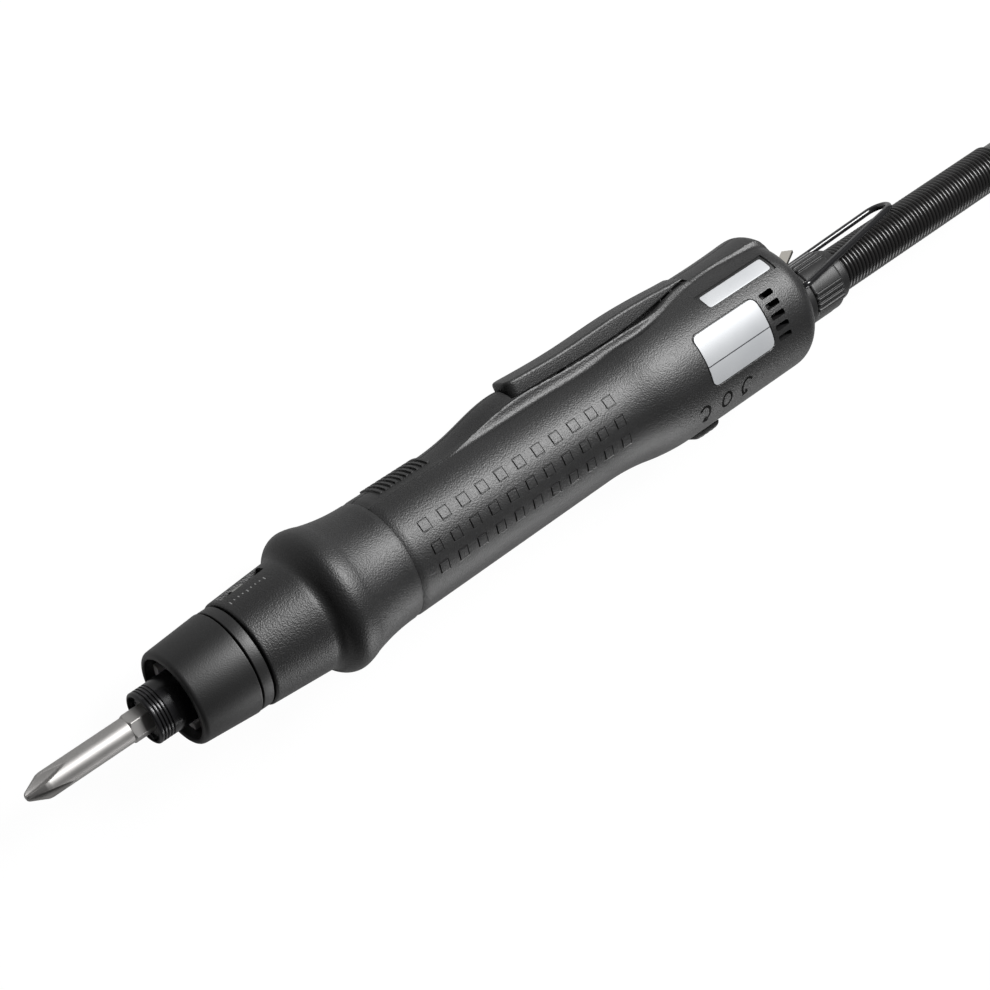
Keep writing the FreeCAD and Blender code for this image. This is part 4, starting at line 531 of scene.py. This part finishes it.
def body_surface(x, angle, label_side):
    """Radius of a grip half over x and the angle from the lever side: the turned body with ramp, rails,
    trench and spine, then ribs, square studs, vents, the label's bed or the screw wells, and the slot."""
    r = round_body(x)
    lever_zone = (x > deck_x0) & (x < lever_x1 + lever_gap)
    deck_r = deck_height(x) / np.maximum(np.cos(angle), least_cosine)
    r = np.where(lever_zone, smooth_min(r, deck_r, deck_fillet), r)
    held_x = np.clip(x, rail_xs[0], rail_xs[-1])
    side = natural_spline(rail_xs, rail_sides, held_x)
    flank = side / np.maximum(np.abs(np.sin(angle)), least_sine)
    ramp = natural_spline(ramp_xs, ramp_tops, np.clip(x, ramp_xs[0], ramp_xs[-1]))
    crown = crown_radius(angle, ramp - np.clip(ramp_xs[0] - x, 0, None) * ramp_fall, ramp_crown_r)
    rail_top = natural_spline(rail_xs, rail_tops, held_x) - rail_slope * side
    rail = rail_top / np.maximum(np.cos(angle) - rail_slope * np.sin(angle), least_lean)
    spine = natural_spline(spine_xs, spine_tops, np.maximum(x, spine_xs[0]))
    spine = spine - spine_end_fall * np.clip(x - spine_end_x, 0, None) ** 3
    back = np.where(x < lever_x1 + lever_gap, smooth_max(crown, rail, ridge_fillet),
                    crown_radius(angle, spine, spine_bow))
    raised = smooth_min(back, flank, rail_round)
    r = np.where(angle < rail_reach, smooth_max(r, raised, rail_fillet), r)
    r = np.where(lever_zone & (angle < trench_half(x)), np.minimum(r, deck_r), r)
    for rib_x in rib_xs:
        r = r + rib_height * within(x, rib_x, rib_x + rib_width, edge_soft) * within(
            angle, -rib_angle, rib_angle, side_soft)
    for half, rise in ((square_half, square_height + square_groove_depth),
                       (square_half + square_groove, -square_groove_depth)):
        r = r + rise * row_of(x, square_xs, half, edge_soft) * row_of(
            angle, square_rows, half / grip_mean_r, side_soft)
    ahead = np.maximum(np.abs(x - (vent_x0 + vent_x1) / 2) - (vent_x1 - vent_x0 - vent_width) / 2, 0)
    for vent in vent_angles:
        away = np.hypot(ahead, (angle - vent) * rear_r) - vent_width / 2
        r = r - vent_depth * np.clip(0.5 - away / (2 * edge_soft), 0, 1)
    if label_side:
        r = r - recess_depth * within(x, recess_x0, recess_x1, edge_soft) * within(
            angle, *recess_angles, rear_soft)
        ahead = np.abs(x - (bed_x0 + bed_x1) / 2) - (bed_x1 - bed_x0) / 2 + bed_corner
        beside = (np.abs(angle - bed_angles.mean()) - np.ptp(bed_angles) / 2) * rear_r + bed_corner
        away = np.hypot(np.maximum(ahead, 0), np.maximum(beside, 0)) - bed_corner
        r = r - bed_depth * np.clip(0.5 - away / (2 * edge_soft), 0, 1)
    else:
        for place, height, floor in screws:
            away = np.hypot(x - place, round_body(x) * np.cos(angle) - height) - screw_r
            well = np.clip(0.5 - away / (2 * edge_soft), 0, 1) * (np.sin(angle) > least_lean)
            r = r * (1 - well) + np.minimum(r, floor / np.maximum(np.sin(angle), least_lean)) * well
    slot = within(x, slot_x0, slot_x1, edge_soft) * within(
        angle, np.pi - slot_half / rear_r, np.pi + slot_half / rear_r, rear_soft)
    return r - slot_depth * slot


def body_half(name, side):
    """One grip half: the polar surface on lines set to its features, its open edges turned in."""
    label_side = side > 0
    x_step, least_x_step, least_turn, end_clear = 1.1, 0.02, 0.001, 1e-4
    fine_turn, fine_end = 0.6, 40      # in degrees, over the lever's side
    round_marks = np.array((-0.06, 0.06, 0.2, 0.42, 0.72))
    square_marks = np.array((-1, 1)) * np.array([[square_half], [square_half + square_groove]])
    x_edges = [*np.add.outer(square_xs, square_marks).ravel(), *rib_xs, *(rib_xs + rib_width), deck_x0,
               lever_x1 + lever_gap, slot_x0, slot_x1]
    x_extra = [vent_x0 + round_marks, vent_x1 - round_marks,
               rear_x - rear_edge + rear_edge * np.sin(np.linspace(0, np.pi / 2, 9)),
               np.arange(ramp_line_x0, ramp_line_x1, ramp_line_step)]
    a_edges = [*np.add.outer(square_rows, square_marks / grip_mean_r).ravel(), rib_angle, trench_angle,
               np.pi - slot_half / rear_r]
    vent_marks = np.array((-0.81, -0.69, -0.55, -0.3, 0, 0.3, 0.55, 0.69, 0.81)) / rear_r
    a_extra = [(vent_angles[:, None] + vent_marks).ravel(),
               np.radians(np.arange(fine_turn, fine_end, fine_turn))]
    if label_side:
        x_edges += [recess_x0, recess_x1, bed_x0, bed_x1]
        a_edges += [*recess_angles, *bed_angles]
        corner_marks = bed_corner * (1 - np.cos(np.linspace(0.3, np.pi / 2, 6)))
        x_extra += [bed_x0 + corner_marks, bed_x1 - corner_marks]
        a_extra += [bed_angles[0] + corner_marks / rear_r, bed_angles[1] - corner_marks / rear_r]
    else:
        well_marks = np.array((-2.41, -2.29, -2.0, -1.5, -0.8, 0, 0.8, 1.5, 2.0, 2.29, 2.41))
        for place, height, _ in screws:
            x_extra.append(place + well_marks)
            a_extra.append(np.arccos((height + well_marks) / round_body(np.array(place))))
    x = np.unique(np.concatenate([lines(seam_x, rear_x, x_step, x_edges), *x_extra]))
    x = x[x < rear_x - end_clear]
    x = np.append(x[np.append(True, np.diff(x) > least_x_step)], rear_x)
    angle = np.unique(np.concatenate([lines(0, np.pi, turn_step, a_edges, side_soft), *a_extra]))
    angle = angle[np.append(True, np.diff(angle) > least_turn)]
    angle[-1] = np.pi
    narrowed = np.interp(angle, (0, trench_angle, trench_fade_angle), (0, 1, 0))
    spread = angle[None, :] + (trench_half(x) - trench_angle)[:, None] * narrowed[None, :]
    r = body_surface(x[:, None], spread, label_side)
    groove = parting_depth * np.exp(-(np.minimum(angle, np.pi - angle) * grip_mean_r / parting_width) ** 2)
    r = r - groove[None, :] - seam_depth * np.exp(-((x - seam_x) / seam_width) ** 2)[:, None]
    r = np.vstack([r[:1] - lip, r, r[-1:] * 0.7, r[-1:] * 0.3])
    x = np.concatenate([[seam_x], x, [rear_x, rear_x]])
    r = np.hstack([r[:, :1] - lip, r, r[:, -1:] - lip])
    spread = np.vstack([spread[:1], spread, spread[-1:], spread[-1:]])
    spread = np.hstack([spread[:, :1], spread, spread[:, -1:]])
    points = polar(x[:, None], spread, r)
    points[..., 2] = side * (points[..., 2] + part_gap)
    return piece(name, [skin(points)], "housing", grain_plastic,
                 ["housing_label_half" if label_side else "housing_plain_half"])


body_half("grip_label_half", 1)
body_half("grip_plain_half", -1)

# Front housing with its scale window
window_x0, window_x1, window_half, window_r, window_floor_r = 20.2, 33.0, 1.7, 14.1, 9.75


def front_housing():
    """Clutch cone, flange and neck turned from an outline of arcs, with the window sunk between two edges."""
    x_step, edge, turn_in = 0.8, 0.5, 0.6
    rise, fall, back = flange_r - clutch_rear_r, flange_r - grip_r, seam_x - flange_x
    front = [(clutch_x1 + (flange_x - clutch_x1) * a, clutch_rear_r + rise * b)
             for a, b in ((0, 0), (0.20, 0.07), (0.38, 0.40), (0.62, 0.84), (1, 1))]
    rear = [(flange_x + back * a, grip_r + fall * b)
            for a, b in ((0, 1), (0.105, 0.87), (0.21, 0.65), (0.54, 0.2), (1, 0))]
    outline = np.concatenate([arc(*front[:3]), arc(*front[2:])[1:], arc(*rear[:3])[1:], arc(*rear[2:])[1:]])
    x = np.unique(np.concatenate([lines(front_x0, clutch_x1, x_step, (window_x0, window_x1)), outline[:, 0],
                                  front_x0 + edge * (1 - np.cos(np.linspace(0, np.pi / 2, 6)))]))
    x[-1] = seam_x - part_gap
    edge_angle = np.arcsin(window_half / window_r)
    angle = lines(-np.pi, np.pi, turn_step, (-edge_angle, edge_angle), side_soft)[:-1]
    cone = clutch_front_r + (clutch_rear_r - clutch_front_r) * (x - front_x0) / (clutch_x1 - front_x0)
    r = np.where(x < clutch_x1, cone, np.interp(x, outline[:, 0], outline[:, 1]))
    inset = np.clip(edge - (x - front_x0), 0, edge)
    r = r - edge + np.sqrt(edge ** 2 - inset ** 2) - seam_depth * np.exp(-((seam_x - x) / seam_width) ** 2)
    sunk = within(x, window_x0, window_x1, edge_soft)[:, None] * within(
        angle, -edge_angle, edge_angle, side_soft)
    r = r[:, None] * (1 - sunk) + window_floor_r * sunk
    r = np.vstack([np.full((1, len(angle)), groove_r - turn_in), r, r[-1:] - lip])
    x = np.concatenate([[front_x0], x, x[-1:]])
    return piece("front_housing_shell", [skin(polar(x[:, None], angle[None, :], r), close_v=True)], "housing",
                 grain_plastic, ["front_housing"])


def nose_ring():
    """Tapered nose ring: front edge rounded, opening with its floor, and the rear end turned in."""
    mouth_edge, rear_cut, crown, rear_bore, web_bore = 0.35, 0.3, 0.1, 9.9, 8.6
    outline = eased([(0, nose_opening_r, mouth_edge), (0, nose_front_r + crown, nose_edge),
                     (nose_x1, nose_rear_r, rear_cut), (nose_x1, rear_bore, 0), (nose_web_x1, rear_bore, 0),
                     (nose_web_x1, web_bore, 0), (nose_depth, web_bore, 0), (nose_depth, nose_opening_r, 0)])
    return piece("nose_ring", [turned(outline)], "torque_ring", satin_plastic, ["torque_ring"])


def spacer():
    """Narrow collar between the two dark grooves, its edges slightly rounded."""
    bore, edge = 9.7, 0.3
    outline = eased([(collar_x0, bore, 0), (collar_x0, collar_r, edge), (collar_x1, collar_r, edge),
                     (collar_x1, groove_r, 0), (front_x0, groove_r, 0), (front_x0, bore, 0)])
    return piece("spacer_ring", [turned(outline)], "housing", satin_plastic, ["spacer_collar"])


def release_sleeve():
    """Release sleeve of the bit holder: rounded lip, ring grooves, plain skirt, hollow mouth, and inside it
    the cone that lets the balls out and the pocket of its spring."""
    x0, x1, r, bore, mouth, mouth_x, lip_r, lip_run = -8.0, 6.6, 6.55, 5.04, 5.7, -5.2, 6.05, 0.35
    cone_r, cone_x0, cone_x1, ball_r = 5.79, -3.11, 0.3, 1.25
    pocket_r, pocket_x = 5.84, 2.95
    groove_x, groove_step, groove_width, groove_r, round_r = -7.0, 0.85, 0.38, 6.2, 0.1
    outline = [(mouth_x, bore, 0), (mouth_x, mouth, 0), (x0, mouth, round_r), (x0, lip_r, round_r),
               (x0 + lip_run, r, 2 * round_r)]
    for k in range(4):
        near, far = groove_x + groove_step * k, groove_x + groove_step * k + groove_width
        outline += [(x, height, round_r) for x, height in
                    ((near, r), (near, groove_r), (far, groove_r), (far, r))]
    outline += [(x1, r, 3 * round_r), (x1, pocket_r, 0), (pocket_x, pocket_r, 0), (pocket_x, bore, 0),
                (cone_x1, bore, 0), (cone_x0, cone_r, 0), (cone_x0 - ball_r, cone_r, 0),
                (cone_x0 - ball_r, bore, 0)]
    return piece("release_sleeve", [turned(eased(outline))], "bit_sleeve", black_steel,
                 ["bit_sleeve"])


def cross_bit():
    """Cross-tip bit as a radius over x and the angle: tip cone, round, hexagon and the locking groove; each
    of the four flutes is r c = p + hypot(r s, e) - e about its middle, the core p growing from the tip."""
    tip, wing, run_out, hex_x0, end = -39.0, -34.7, -28.6, -12.4, 11.0
    flat, corner_r, bevel, bevel_sink, end_flat = 3.175, 3.62, 0.6, 0.03, 0.05
    groove_x0, groove_x1, groove_floor_r, least_r = -1.3, 1.6, 2.46, 0.2
    ease, core_r, core_rise, flute_round, x_step = 0.3, 0.66, 2.6, 0.12, 0.8
    tip_run, wing_run, cone_radii = 0.3, 0.9, (0.75, 1.1, 3.0, 3.15)
    x = np.unique(np.concatenate([np.linspace(tip, run_out, 44),
                                  lines(run_out, end, x_step, (groove_x0, groove_x1)),
                                  hex_x0 + np.linspace(0, bevel, 7), end - np.linspace(0, bevel, 5),
                                  tip + np.array((0.02, 0.06, 0.14))]))[:, None]
    angle = np.linspace(0, 2 * np.pi, 240, endpoint=False)[None, :]
    cone = np.interp(x, [tip, tip + tip_run, wing, wing + wing_run], cone_radii)
    core = core_r + core_rise * np.clip((x - tip) / (run_out - tip), 0, 1) ** 1.4
    turn = np.mod(angle + np.radians(5), np.pi / 2) - np.pi / 4
    c, s = np.cos(turn), np.sin(turn)
    a, b = np.maximum(c ** 2 - s ** 2, 1e-4), c * (core - ease)
    flute = (b + np.sqrt(np.maximum(b ** 2 - a * ((core - ease) ** 2 - ease ** 2), 0))) / a
    shaft = smooth_min(cone, flute, flute_round)
    sixth = np.mod(angle, np.pi / 3) - np.pi / 6
    hexagon = np.minimum(flat / np.cos(sixth), corner_r)
    hexagon = np.minimum(hexagon, flat - bevel_sink + np.minimum(x - hex_x0, end - x + end_flat))
    groove = within(x, groove_x0, groove_x1, edge_soft)
    hexagon = hexagon * (1 - groove) + np.minimum(hexagon, groove_floor_r) * groove
    r = np.where(x < hex_x0, shaft, np.maximum(hexagon, least_r))
    r = np.vstack([r[:1] * 0.02, r, r[-1:] * 0.02])
    x = np.vstack([x[:1], x, x[-1:]])
    return piece("cross_bit", [skin(polar(x, angle, r), close_v=True)], "spindle", bit_steel,
                 ["driver_bit"], sharp=24.0)


def start_lever():
    """Start lever: at each x a rounded oblong between its under and upper curves, with a round front."""
    top_xs, top_ys = (110.7, 129.83, 148.65, 162.6, 170.5), (20.9, 20.15, 20.45, 19.83, 19.2)
    low_xs, low_ys = (110.7, 131.65, 147.43, 170.5), (16.4, 15.8, 15.8, 18.55)
    corner, nose_round, upper_round, lower_round, crown = 3.0, 0.9, 0.85, 0.45, 0.12
    presser, pivot_lug = (128.4, 133.2, 11.4, 16.2, 2.0), (162.6, 167.2, 15.6, 18.3, 2.6)
    pivot_x, pivot_y, eye_rows = 164.9, 15.6, ((1.14, -2.6), (2.3, -2.6), (2.3, 2.6), (1.14, 2.6))
    inset = 1 - np.cos(np.linspace(0, np.pi / 2, 14))
    x = np.unique(np.concatenate([lever_x0 + corner * inset, np.linspace(lever_x0 + corner, lever_x1, 72)]))
    place = np.maximum(x, lever_x0 + nose_round)
    top = natural_spline(top_xs, top_ys, place)
    low = natural_spline(low_xs, low_ys, place)
    front = np.clip(1 - (x - lever_x0) / corner, 0, 1)
    half = lever_half - corner + corner * np.sqrt(1 - front ** 2)
    nose = np.clip(1 - (x - lever_x0) / nose_round, 0, 1)
    drop = nose_round * (1 - np.sqrt(1 - nose ** 2))
    top, low = top - drop, low + drop * 0.6
    upper = np.minimum(upper_round, np.minimum(half * 0.95, (top - low) * 0.5))[:, None]
    lower = np.minimum(lower_round, np.minimum(half * 0.95, (top - low) * 0.4))[:, None]
    turn = np.linspace(0, np.pi / 2, 7)[None, :]
    half, top, low = half[:, None], top[:, None], low[:, None]
    right_z, right_y = half - upper + upper * np.sin(turn), top - crown - upper + upper * np.cos(turn)
    under_z, under_y = half - lower + lower * np.cos(turn), low + lower - lower * np.sin(turn)
    middle = np.zeros_like(half)
    z = np.hstack([middle, right_z, under_z, middle, -under_z[:, ::-1], -right_z[:, ::-1]])
    y = np.hstack([top, right_y, under_y, low, under_y[:, ::-1], right_y[:, ::-1]])
    points = np.stack([np.broadcast_to(x[:, None], y.shape), y, z], -1)
    return piece("start_lever", [capped(points), block(*presser), block(*pivot_lug),
                                 rings(pivot_x, pivot_y, eye_rows, 48)],
                 "lever", grain_plastic, ["lever"])


def block(x0, x1, y0, y1, half):
    """A plain bar between two heights, as a loop of corners carried along Z, with its ends closed."""
    loop = np.array([(x0, y0), (x1, y0), (x1, y1), (x0, y1)])
    rows = [np.c_[loop.mean(0) + (loop - loop.mean(0)) * grow, np.full(4, z)]
            for grow, z in ((0, -half), (1, -half), (1, half), (0, half))]
    return skin(np.array(rows), close_v=True)


def rings(x, y, rows, steps):
    """Circles (r, z) about a line along Z through (x, y), joined into a closed ring."""
    angle = np.linspace(0, 2 * np.pi, steps, endpoint=False)
    loops = [np.c_[x + r * np.cos(angle), y + r * np.sin(angle), np.full(steps, z)] for r, z in rows]
    return skin(np.array(loops), close_u=True, close_v=True)


def coil_spring(name, node, bodies, x0, x1, middle_r, wire, turns):
    """Round wire of radius wire along the helix x = x0 + rise t, at middle_r about the axis."""
    t = np.linspace(0, 1, int(turns * 48) + 1)[:, None]
    turn = 2 * np.pi * turns * t
    rise = x1 - x0 - 2 * wire
    run = np.hypot(rise, 2 * np.pi * turns * middle_r)
    lean, round_share = rise / run, 2 * np.pi * turns * middle_r / run
    around = np.linspace(0, 2 * np.pi, 16, endpoint=False)[None, :]
    radial, axial = wire * np.cos(around), wire * np.sin(around)
    x = x0 + wire + rise * t + round_share * axial
    y = (middle_r + radial) * np.cos(turn) + lean * axial * np.sin(turn)
    z = (middle_r + radial) * np.sin(turn) - lean * axial * np.cos(turn)
    return piece(name, [capped(np.stack([x, y, z], -1))], (*bodies, (x0, 0, 0), (x1, 0, 0)), bright_steel,
                 [node])


def leaf_spring():
    """Return spring of the lever: a flat foot on the deck, then y = low + rise s^2 up to the lever."""
    x0, foot_x, x1, low, rise, thick, half_width = 133.8, 138.57, 147.43, 14.3, 1.0, 0.35, 1.6
    x = np.concatenate([np.linspace(x0, foot_x, 6), np.linspace(foot_x, x1, 24)[1:]])
    y = low + rise * (np.clip(x - foot_x, 0, None) / (x1 - foot_x)) ** 2
    corners = np.array([(0, -1), (0, 1), (thick, 1), (thick, -1)])
    loops = np.stack(np.broadcast_arrays(x[:, None], y[:, None] + corners[:, 0],
                                         half_width * corners[:, 1]), -1)
    # Painted shade: black steel here keeps the spring as dark as the shaded gap under the lever.
    return piece("leaf_spring", [capped(loops)], ("housing", "lever", (foot_x, low, 0), (x1, low, 0)),
                 black_steel, ["lever_spring"])


def slide_knob():
    """Low knob of the direction slide: a dome 1 - u^6 by 1 - v^4 with five cross ridges, and its stem."""
    middle_x, half_x, half_z, base_y, height = 159.7, 4.25, 3.2, -18.3, 1.75
    ridge_height, ridged_share, dome_power = 0.06, 0.7, 0.35
    stem = (158.0, 162.0, -18.35, -11.2, 1.2)
    u = np.linspace(-1, 1, 81)[:, None]
    v = np.linspace(-1, 1, 33)[None, :]
    dome = (np.maximum(1 - u ** 6, 0) * np.maximum(1 - v ** 4, 0)) ** dome_power
    ridges = ridge_height * np.cos(u * np.pi * 5) * (np.abs(u) < ridged_share) * (1 - v ** 4)
    y = base_y - height * dome - ridges * dome
    points = np.stack(np.broadcast_arrays(middle_x + half_x * u, y, half_z * v), -1)
    base = points.copy()
    base[..., 1] = base_y
    return piece("slide_knob", [skin(points), skin(base), block(*stem)], "slider",
                 satin_plastic, ["direction_slider"])


def plate(x0, x1, angles, low, top, corner):
    """A thin bent plate with round corners: rings from its middle out to a rounded oblong, on two radii."""
    step, edge_fall = 0.8, 0.03
    a0, a1 = np.radians(angles)
    width = (a1 - a0) * top
    loop = eased([(x0, 0, corner), (x1, 0, corner), (x1, width, corner), (x0, width, corner)])
    spread = []
    for p, q in zip(loop, np.roll(loop, -1, 0)):
        count = max(1, int(np.linalg.norm(q - p) / step))
        spread.append(p + (q - p) * np.arange(count)[:, None] / count)
    loop = np.concatenate(spread)
    middle = np.array([(x0 + x1) / 2, width / 2])
    rings = np.linspace(0, 1, 12)[:, None, None]
    flat = middle + (loop - middle) * rings
    flat = np.concatenate([flat, flat[-1:]])
    r = np.full(flat.shape[:2], top)
    r[-2] -= edge_fall
    r[-1] = low
    return skin(polar(flat[..., 0], a0 + flat[..., 1] / top, r), close_v=True)


def stroke(path, radius, angle, width, rise):
    """A low line on a round surface: path of (x, s), s round the surface, its back rise (1 - o^2) high."""
    sink = 0.01
    path = np.asarray(path, float)
    along = np.gradient(path, axis=0)
    along = along / np.linalg.norm(along, axis=1, keepdims=True)
    side = np.stack([-along[:, 1], along[:, 0]], -1)
    offset = np.linspace(-1, 1, 5)
    flat = path[:, None] + side[:, None] * offset[None, :, None] * width / 2
    height = radius + rise * (1 - offset ** 2)[None, :] - sink
    return skin(polar(flat[..., 0], angle + flat[..., 1] / radius, np.broadcast_to(height, flat.shape[:2])))


def direction_marks():
    """Turning arrow, ring and opposite turning arrow beside the direction slide, as thin painted-shade lines.
    """
    arrows, bow_half, barb_length, barb_lean = ((152.8, 1), (168.5, -1)), (1.9, 2.5), 1.7, 0.3
    ring_x, ring_half = 161.0, (1.6, 2.3)
    row_angle, width, rise = np.radians(128.0), 0.75, 0.06
    sweep = np.linspace(-2.5, 1.7, 40)
    ring = np.linspace(0, 2 * np.pi, 49)
    strokes = []
    for place, hand in arrows:
        bow = np.stack([place + hand * bow_half[0] * np.cos(sweep), bow_half[1] * np.sin(sweep)], -1)
        tip = bow[-1]
        strokes.append(bow)
        for turn in (-0.5, 0.9):
            barb = np.array((np.cos(turn) * hand, -np.sin(turn) - barb_lean))
            strokes.append(tip + np.outer(np.linspace(0, barb_length, 6), barb / np.linalg.norm(barb)))
    strokes.append(np.stack([ring_x + ring_half[0] * np.cos(ring), ring_half[1] * np.sin(ring)], -1))
    return piece("direction_marks", [stroke(s, rear_r + part_gap, row_angle, width, rise) for s in strokes],
                 "housing", groove_shade_black)


def scale_marks():
    """Torque scale beside the window: nine ticks, longer at both ends and in the middle."""
    first_x, last_x, long_tick, short_tick = 20.9, 30.7, 1.0, 0.55
    row_angle, width, rise = np.radians(19.0), 0.3, 0.03
    slope = (clutch_rear_r - clutch_front_r) / (clutch_x1 - front_x0)
    strokes = []
    for k, x in enumerate(np.linspace(first_x, last_x, 9)):
        length = long_tick if k in (0, 4, 8) else short_tick
        path = np.stack([np.full(5, x), np.linspace(0, length, 5)], -1)
        strokes.append(stroke(path, clutch_front_r + slope * (x - front_x0), row_angle, width, rise))
    return piece("scale_marks", strokes, "housing", mark_pale)


def socket_collar():
    """Collar of the rear socket, with a boss on each side for the hanger's ends."""
    bore, front_cut, rear_cut, boss_x, boss_y = 6.7, 0.2, 0.7, 201.0, 0.9
    boss = ((2.3, 6.0), (2.1, 8.1), (1.9, 8.35), (1.0, 8.4), (1.0, 6.0))
    outline = eased([(socket_x0, bore, 0), (socket_x0, socket_r, front_cut), (socket_x1, socket_r, rear_cut),
                     (socket_x1, bore, 0)])
    bosses = [rings(boss_x, boss_y, [(r, side * z) for r, z in boss], 40) for side in (1, -1)]
    return piece("socket_collar", [turned(outline, plug_y)] + bosses, "housing", satin_plastic,
                 ["rear_socket"])


def plug_ring():
    """Locking ring of the plug: four groups of four rounded ridges along it, faded at both ends."""
    x0, x1, fade_run, ring_r, bore, end_fall, ridge_height = 204.9, 215.5, 1.1, 8.4, 6.45, 0.35, 0.5
    ridge_step, ridge_half = 11.0, 3.6      # in degrees
    end_marks = np.array((0, 0.05, 0.2, 0.5, 0.8, 1.1, 1.5))
    middle = np.linspace(x0 + end_marks[-1], x1 - end_marks[-1], 8)
    x = np.unique(np.concatenate([x0 + end_marks, middle, x1 - end_marks]))
    angle = np.linspace(0, 2 * np.pi, 720, endpoint=False)
    local = np.mod(np.degrees(angle) + ridge_step / 2, 90) - ridge_step / 2
    nearest = np.clip(np.round(local / ridge_step), 0, 3) * ridge_step
    ridge = np.clip(1 - (np.abs(local - nearest) / ridge_half) ** 4, 0, 1)
    ends = np.clip(np.minimum(x - x0, x1 - x) / fade_run, 0, 1)
    fade = np.sqrt(1 - (1 - ends) ** 2)
    r = ring_r - end_fall * (1 - np.clip(ends * 2.2, 0, 1)) ** 2
    r = r[:, None] + ridge_height * ridge[None, :] * fade[:, None]
    inner = np.full((1, len(angle)), bore)
    r = np.vstack([inner, r, inner])
    x = np.concatenate([x[:1], x, x[-1:]])
    surface = polar(x[:, None], angle[None, :], r, plug_y)
    return piece("plug_lock_ring", [skin(surface, close_u=True, close_v=True)], "plug_ring", satin_plastic,
                 ["plug_ring"])


def plug_end():
    """Rear flange of the plug, behind the locking ring."""
    x0, rim_x, x1, seat_x = 200.3, 216.0, 218.8, 212.8
    least_r, core_r, rim_r, seat_r, front_cut, rear_cut = 0.2, 6.4, 7.4, 5.7, 0.3, 0.6
    outline = eased([(x0, least_r, 0), (x0, core_r, 0), (rim_x, core_r, 0), (rim_x, rim_r, front_cut),
                     (x1, rim_r, rear_cut), (x1, seat_r, 0), (seat_x, seat_r, 0), (seat_x, least_r, 0)])
    return piece("plug_end", [turned(outline, plug_y)], "housing", satin_plastic, ["plug_body"])


def ribbed_sleeve():
    """Ribbed sleeve over the cable: valley + rise sqrt(|sin|) for its rounded ribs, plain ends and a bore."""
    pitch, count, x0, x1, seat_x = 1.35, 51, 218.8, 293.8, 213.0
    valley_r, rib_rise, bore, end_cut = 5.6, 0.7, 3.4, 0.4
    step = np.linspace(0, 1, 11)[:-1]
    x = (x0 + pitch * (np.arange(count)[:, None] + step[None, :])).ravel()
    r = valley_r + rib_rise * np.sqrt(np.abs(np.sin(np.pi * np.tile(step, count))))
    outer = np.concatenate([[(seat_x, bore), (seat_x, valley_r)], np.stack([x, r], -1),
                            [(x0 + pitch * count, valley_r), (x1 - end_cut, valley_r),
                             (x1, valley_r - end_cut), (x1, bore)]])
    return piece("ribbed_sleeve", [turned(outer, plug_y)], "housing", rib_rubber,
                 ["bend_sleeve"], sharp=50.0)


front_housing()
nose_ring()
spacer()
release_sleeve()
cross_bit()
start_lever()
leaf_spring()
coil_spring("sleeve_coil", "sleeve_spring", ("bit_sleeve", "spindle"),
            x0=2.95, x1=6.9, middle_r=5.44, wire=0.25, turns=2.0)
coil_spring("torque_coil", "torque_spring", ("torque_nut", "housing"),
            x0=29.1, x1=40.3, middle_r=10.75, wire=0.75, turns=3.5)
slide_knob()
large_plate = plate(x0=156.8, x1=179.2, angles=(63.8, 108.3), low=17.8, top=18.28, corner=2.0)
small_plate = plate(x0=167.7, x1=190.3, angles=(38.0, 51.4), low=17.7, top=17.92, corner=0.9)
piece("large_label_plate", [large_plate], "housing", large_foil, ["large_label"])
piece("small_label_plate", [small_plate], "housing", small_foil, ["small_label"])
direction_marks()
scale_marks()
socket_collar()
plug_ring()
plug_end()
ribbed_sleeve()

# Finishes of the solids that stay as they are
for row in frame["record"]["subparts"]:
    solid = frame["nodes"][row["node"]]
    if not solid.material_slots:
        solid.data.materials.append(finishes[row["material_slot"]])
    for held in solid.material_slots:
        held.material = finishes[row["material_slot"]]


def floor_finish():
    """White floor: mostly even white where the camera sees it, with a share of lit grey that keeps the
    object's shadow."""
    white_share = 0.92
    graph = Graph(bpy.data.materials.new("white_floor"))
    lit = graph.node("ShaderNodeBsdfDiffuse", {}, {"Color": (0.4, 0.4, 0.4, 1)})
    even = graph.node("ShaderNodeEmission", {}, {"Color": (1, 1, 1, 1), "Strength": 1.06})
    mix = graph.node("ShaderNodeMixShader", {}, {0: seen_share(graph) * white_share, 1: lit, 2: even})
    graph.node("ShaderNodeOutputMaterial", {}, {"Surface": mix})
    return graph.owner


def white_room():
    """World: soft grey light on the object, plain white where the camera sees it."""
    world = bpy.data.worlds.new("white_room")
    bpy.context.scene.world = world
    graph = Graph(world)
    tone = mixed(graph, seen_share(graph), (0.06, 0.06, 0.06), (1, 1, 1))
    background = graph.node("ShaderNodeBackground", {}, {"Color": tone, "Strength": 1.0})
    graph.node("ShaderNodeOutputWorld", {}, {"Surface": background})


def area_lamp(name, place, aim, size, power):
    """A soft square lamp at a place, turned to a point."""
    roll_from = (0.2, 1.0, 0.1)
    lamp = placed(name, bpy.data.lights.new(name, "AREA"))
    lamp.data.size, lamp.data.energy = size, power
    back = np.array(place) - np.array(aim)
    back = back / np.linalg.norm(back)
    right = np.cross(roll_from, back)
    right = right / np.linalg.norm(right)
    lamp.matrix_world = stand(right, np.cross(back, right), back, place)


half_floor = 1.6
floor_corners = [(a * half_floor, b * half_floor, floor_z * MM)
                 for a, b in ((-1, -1), (1, -1), (1, 1), (-1, 1))]
floor_mesh = bpy.data.meshes.new("floor")
floor_mesh.from_pydata(floor_corners, [], [(0, 1, 2, 3)])
floor_mesh.materials.append(floor_finish())
floor = placed("floor", floor_mesh)
white_room()
middle = (0.1, 0.0, 0.0)
area_lamp("key_lamp", (0.476, 0.336, 0.62), middle, 0.32, 10.5)
area_lamp("fill_lamp", (0.26, -0.42, 0.05), middle, 0.2, 0.75)

bpy.context.scene.view_settings.view_transform = "Standard"
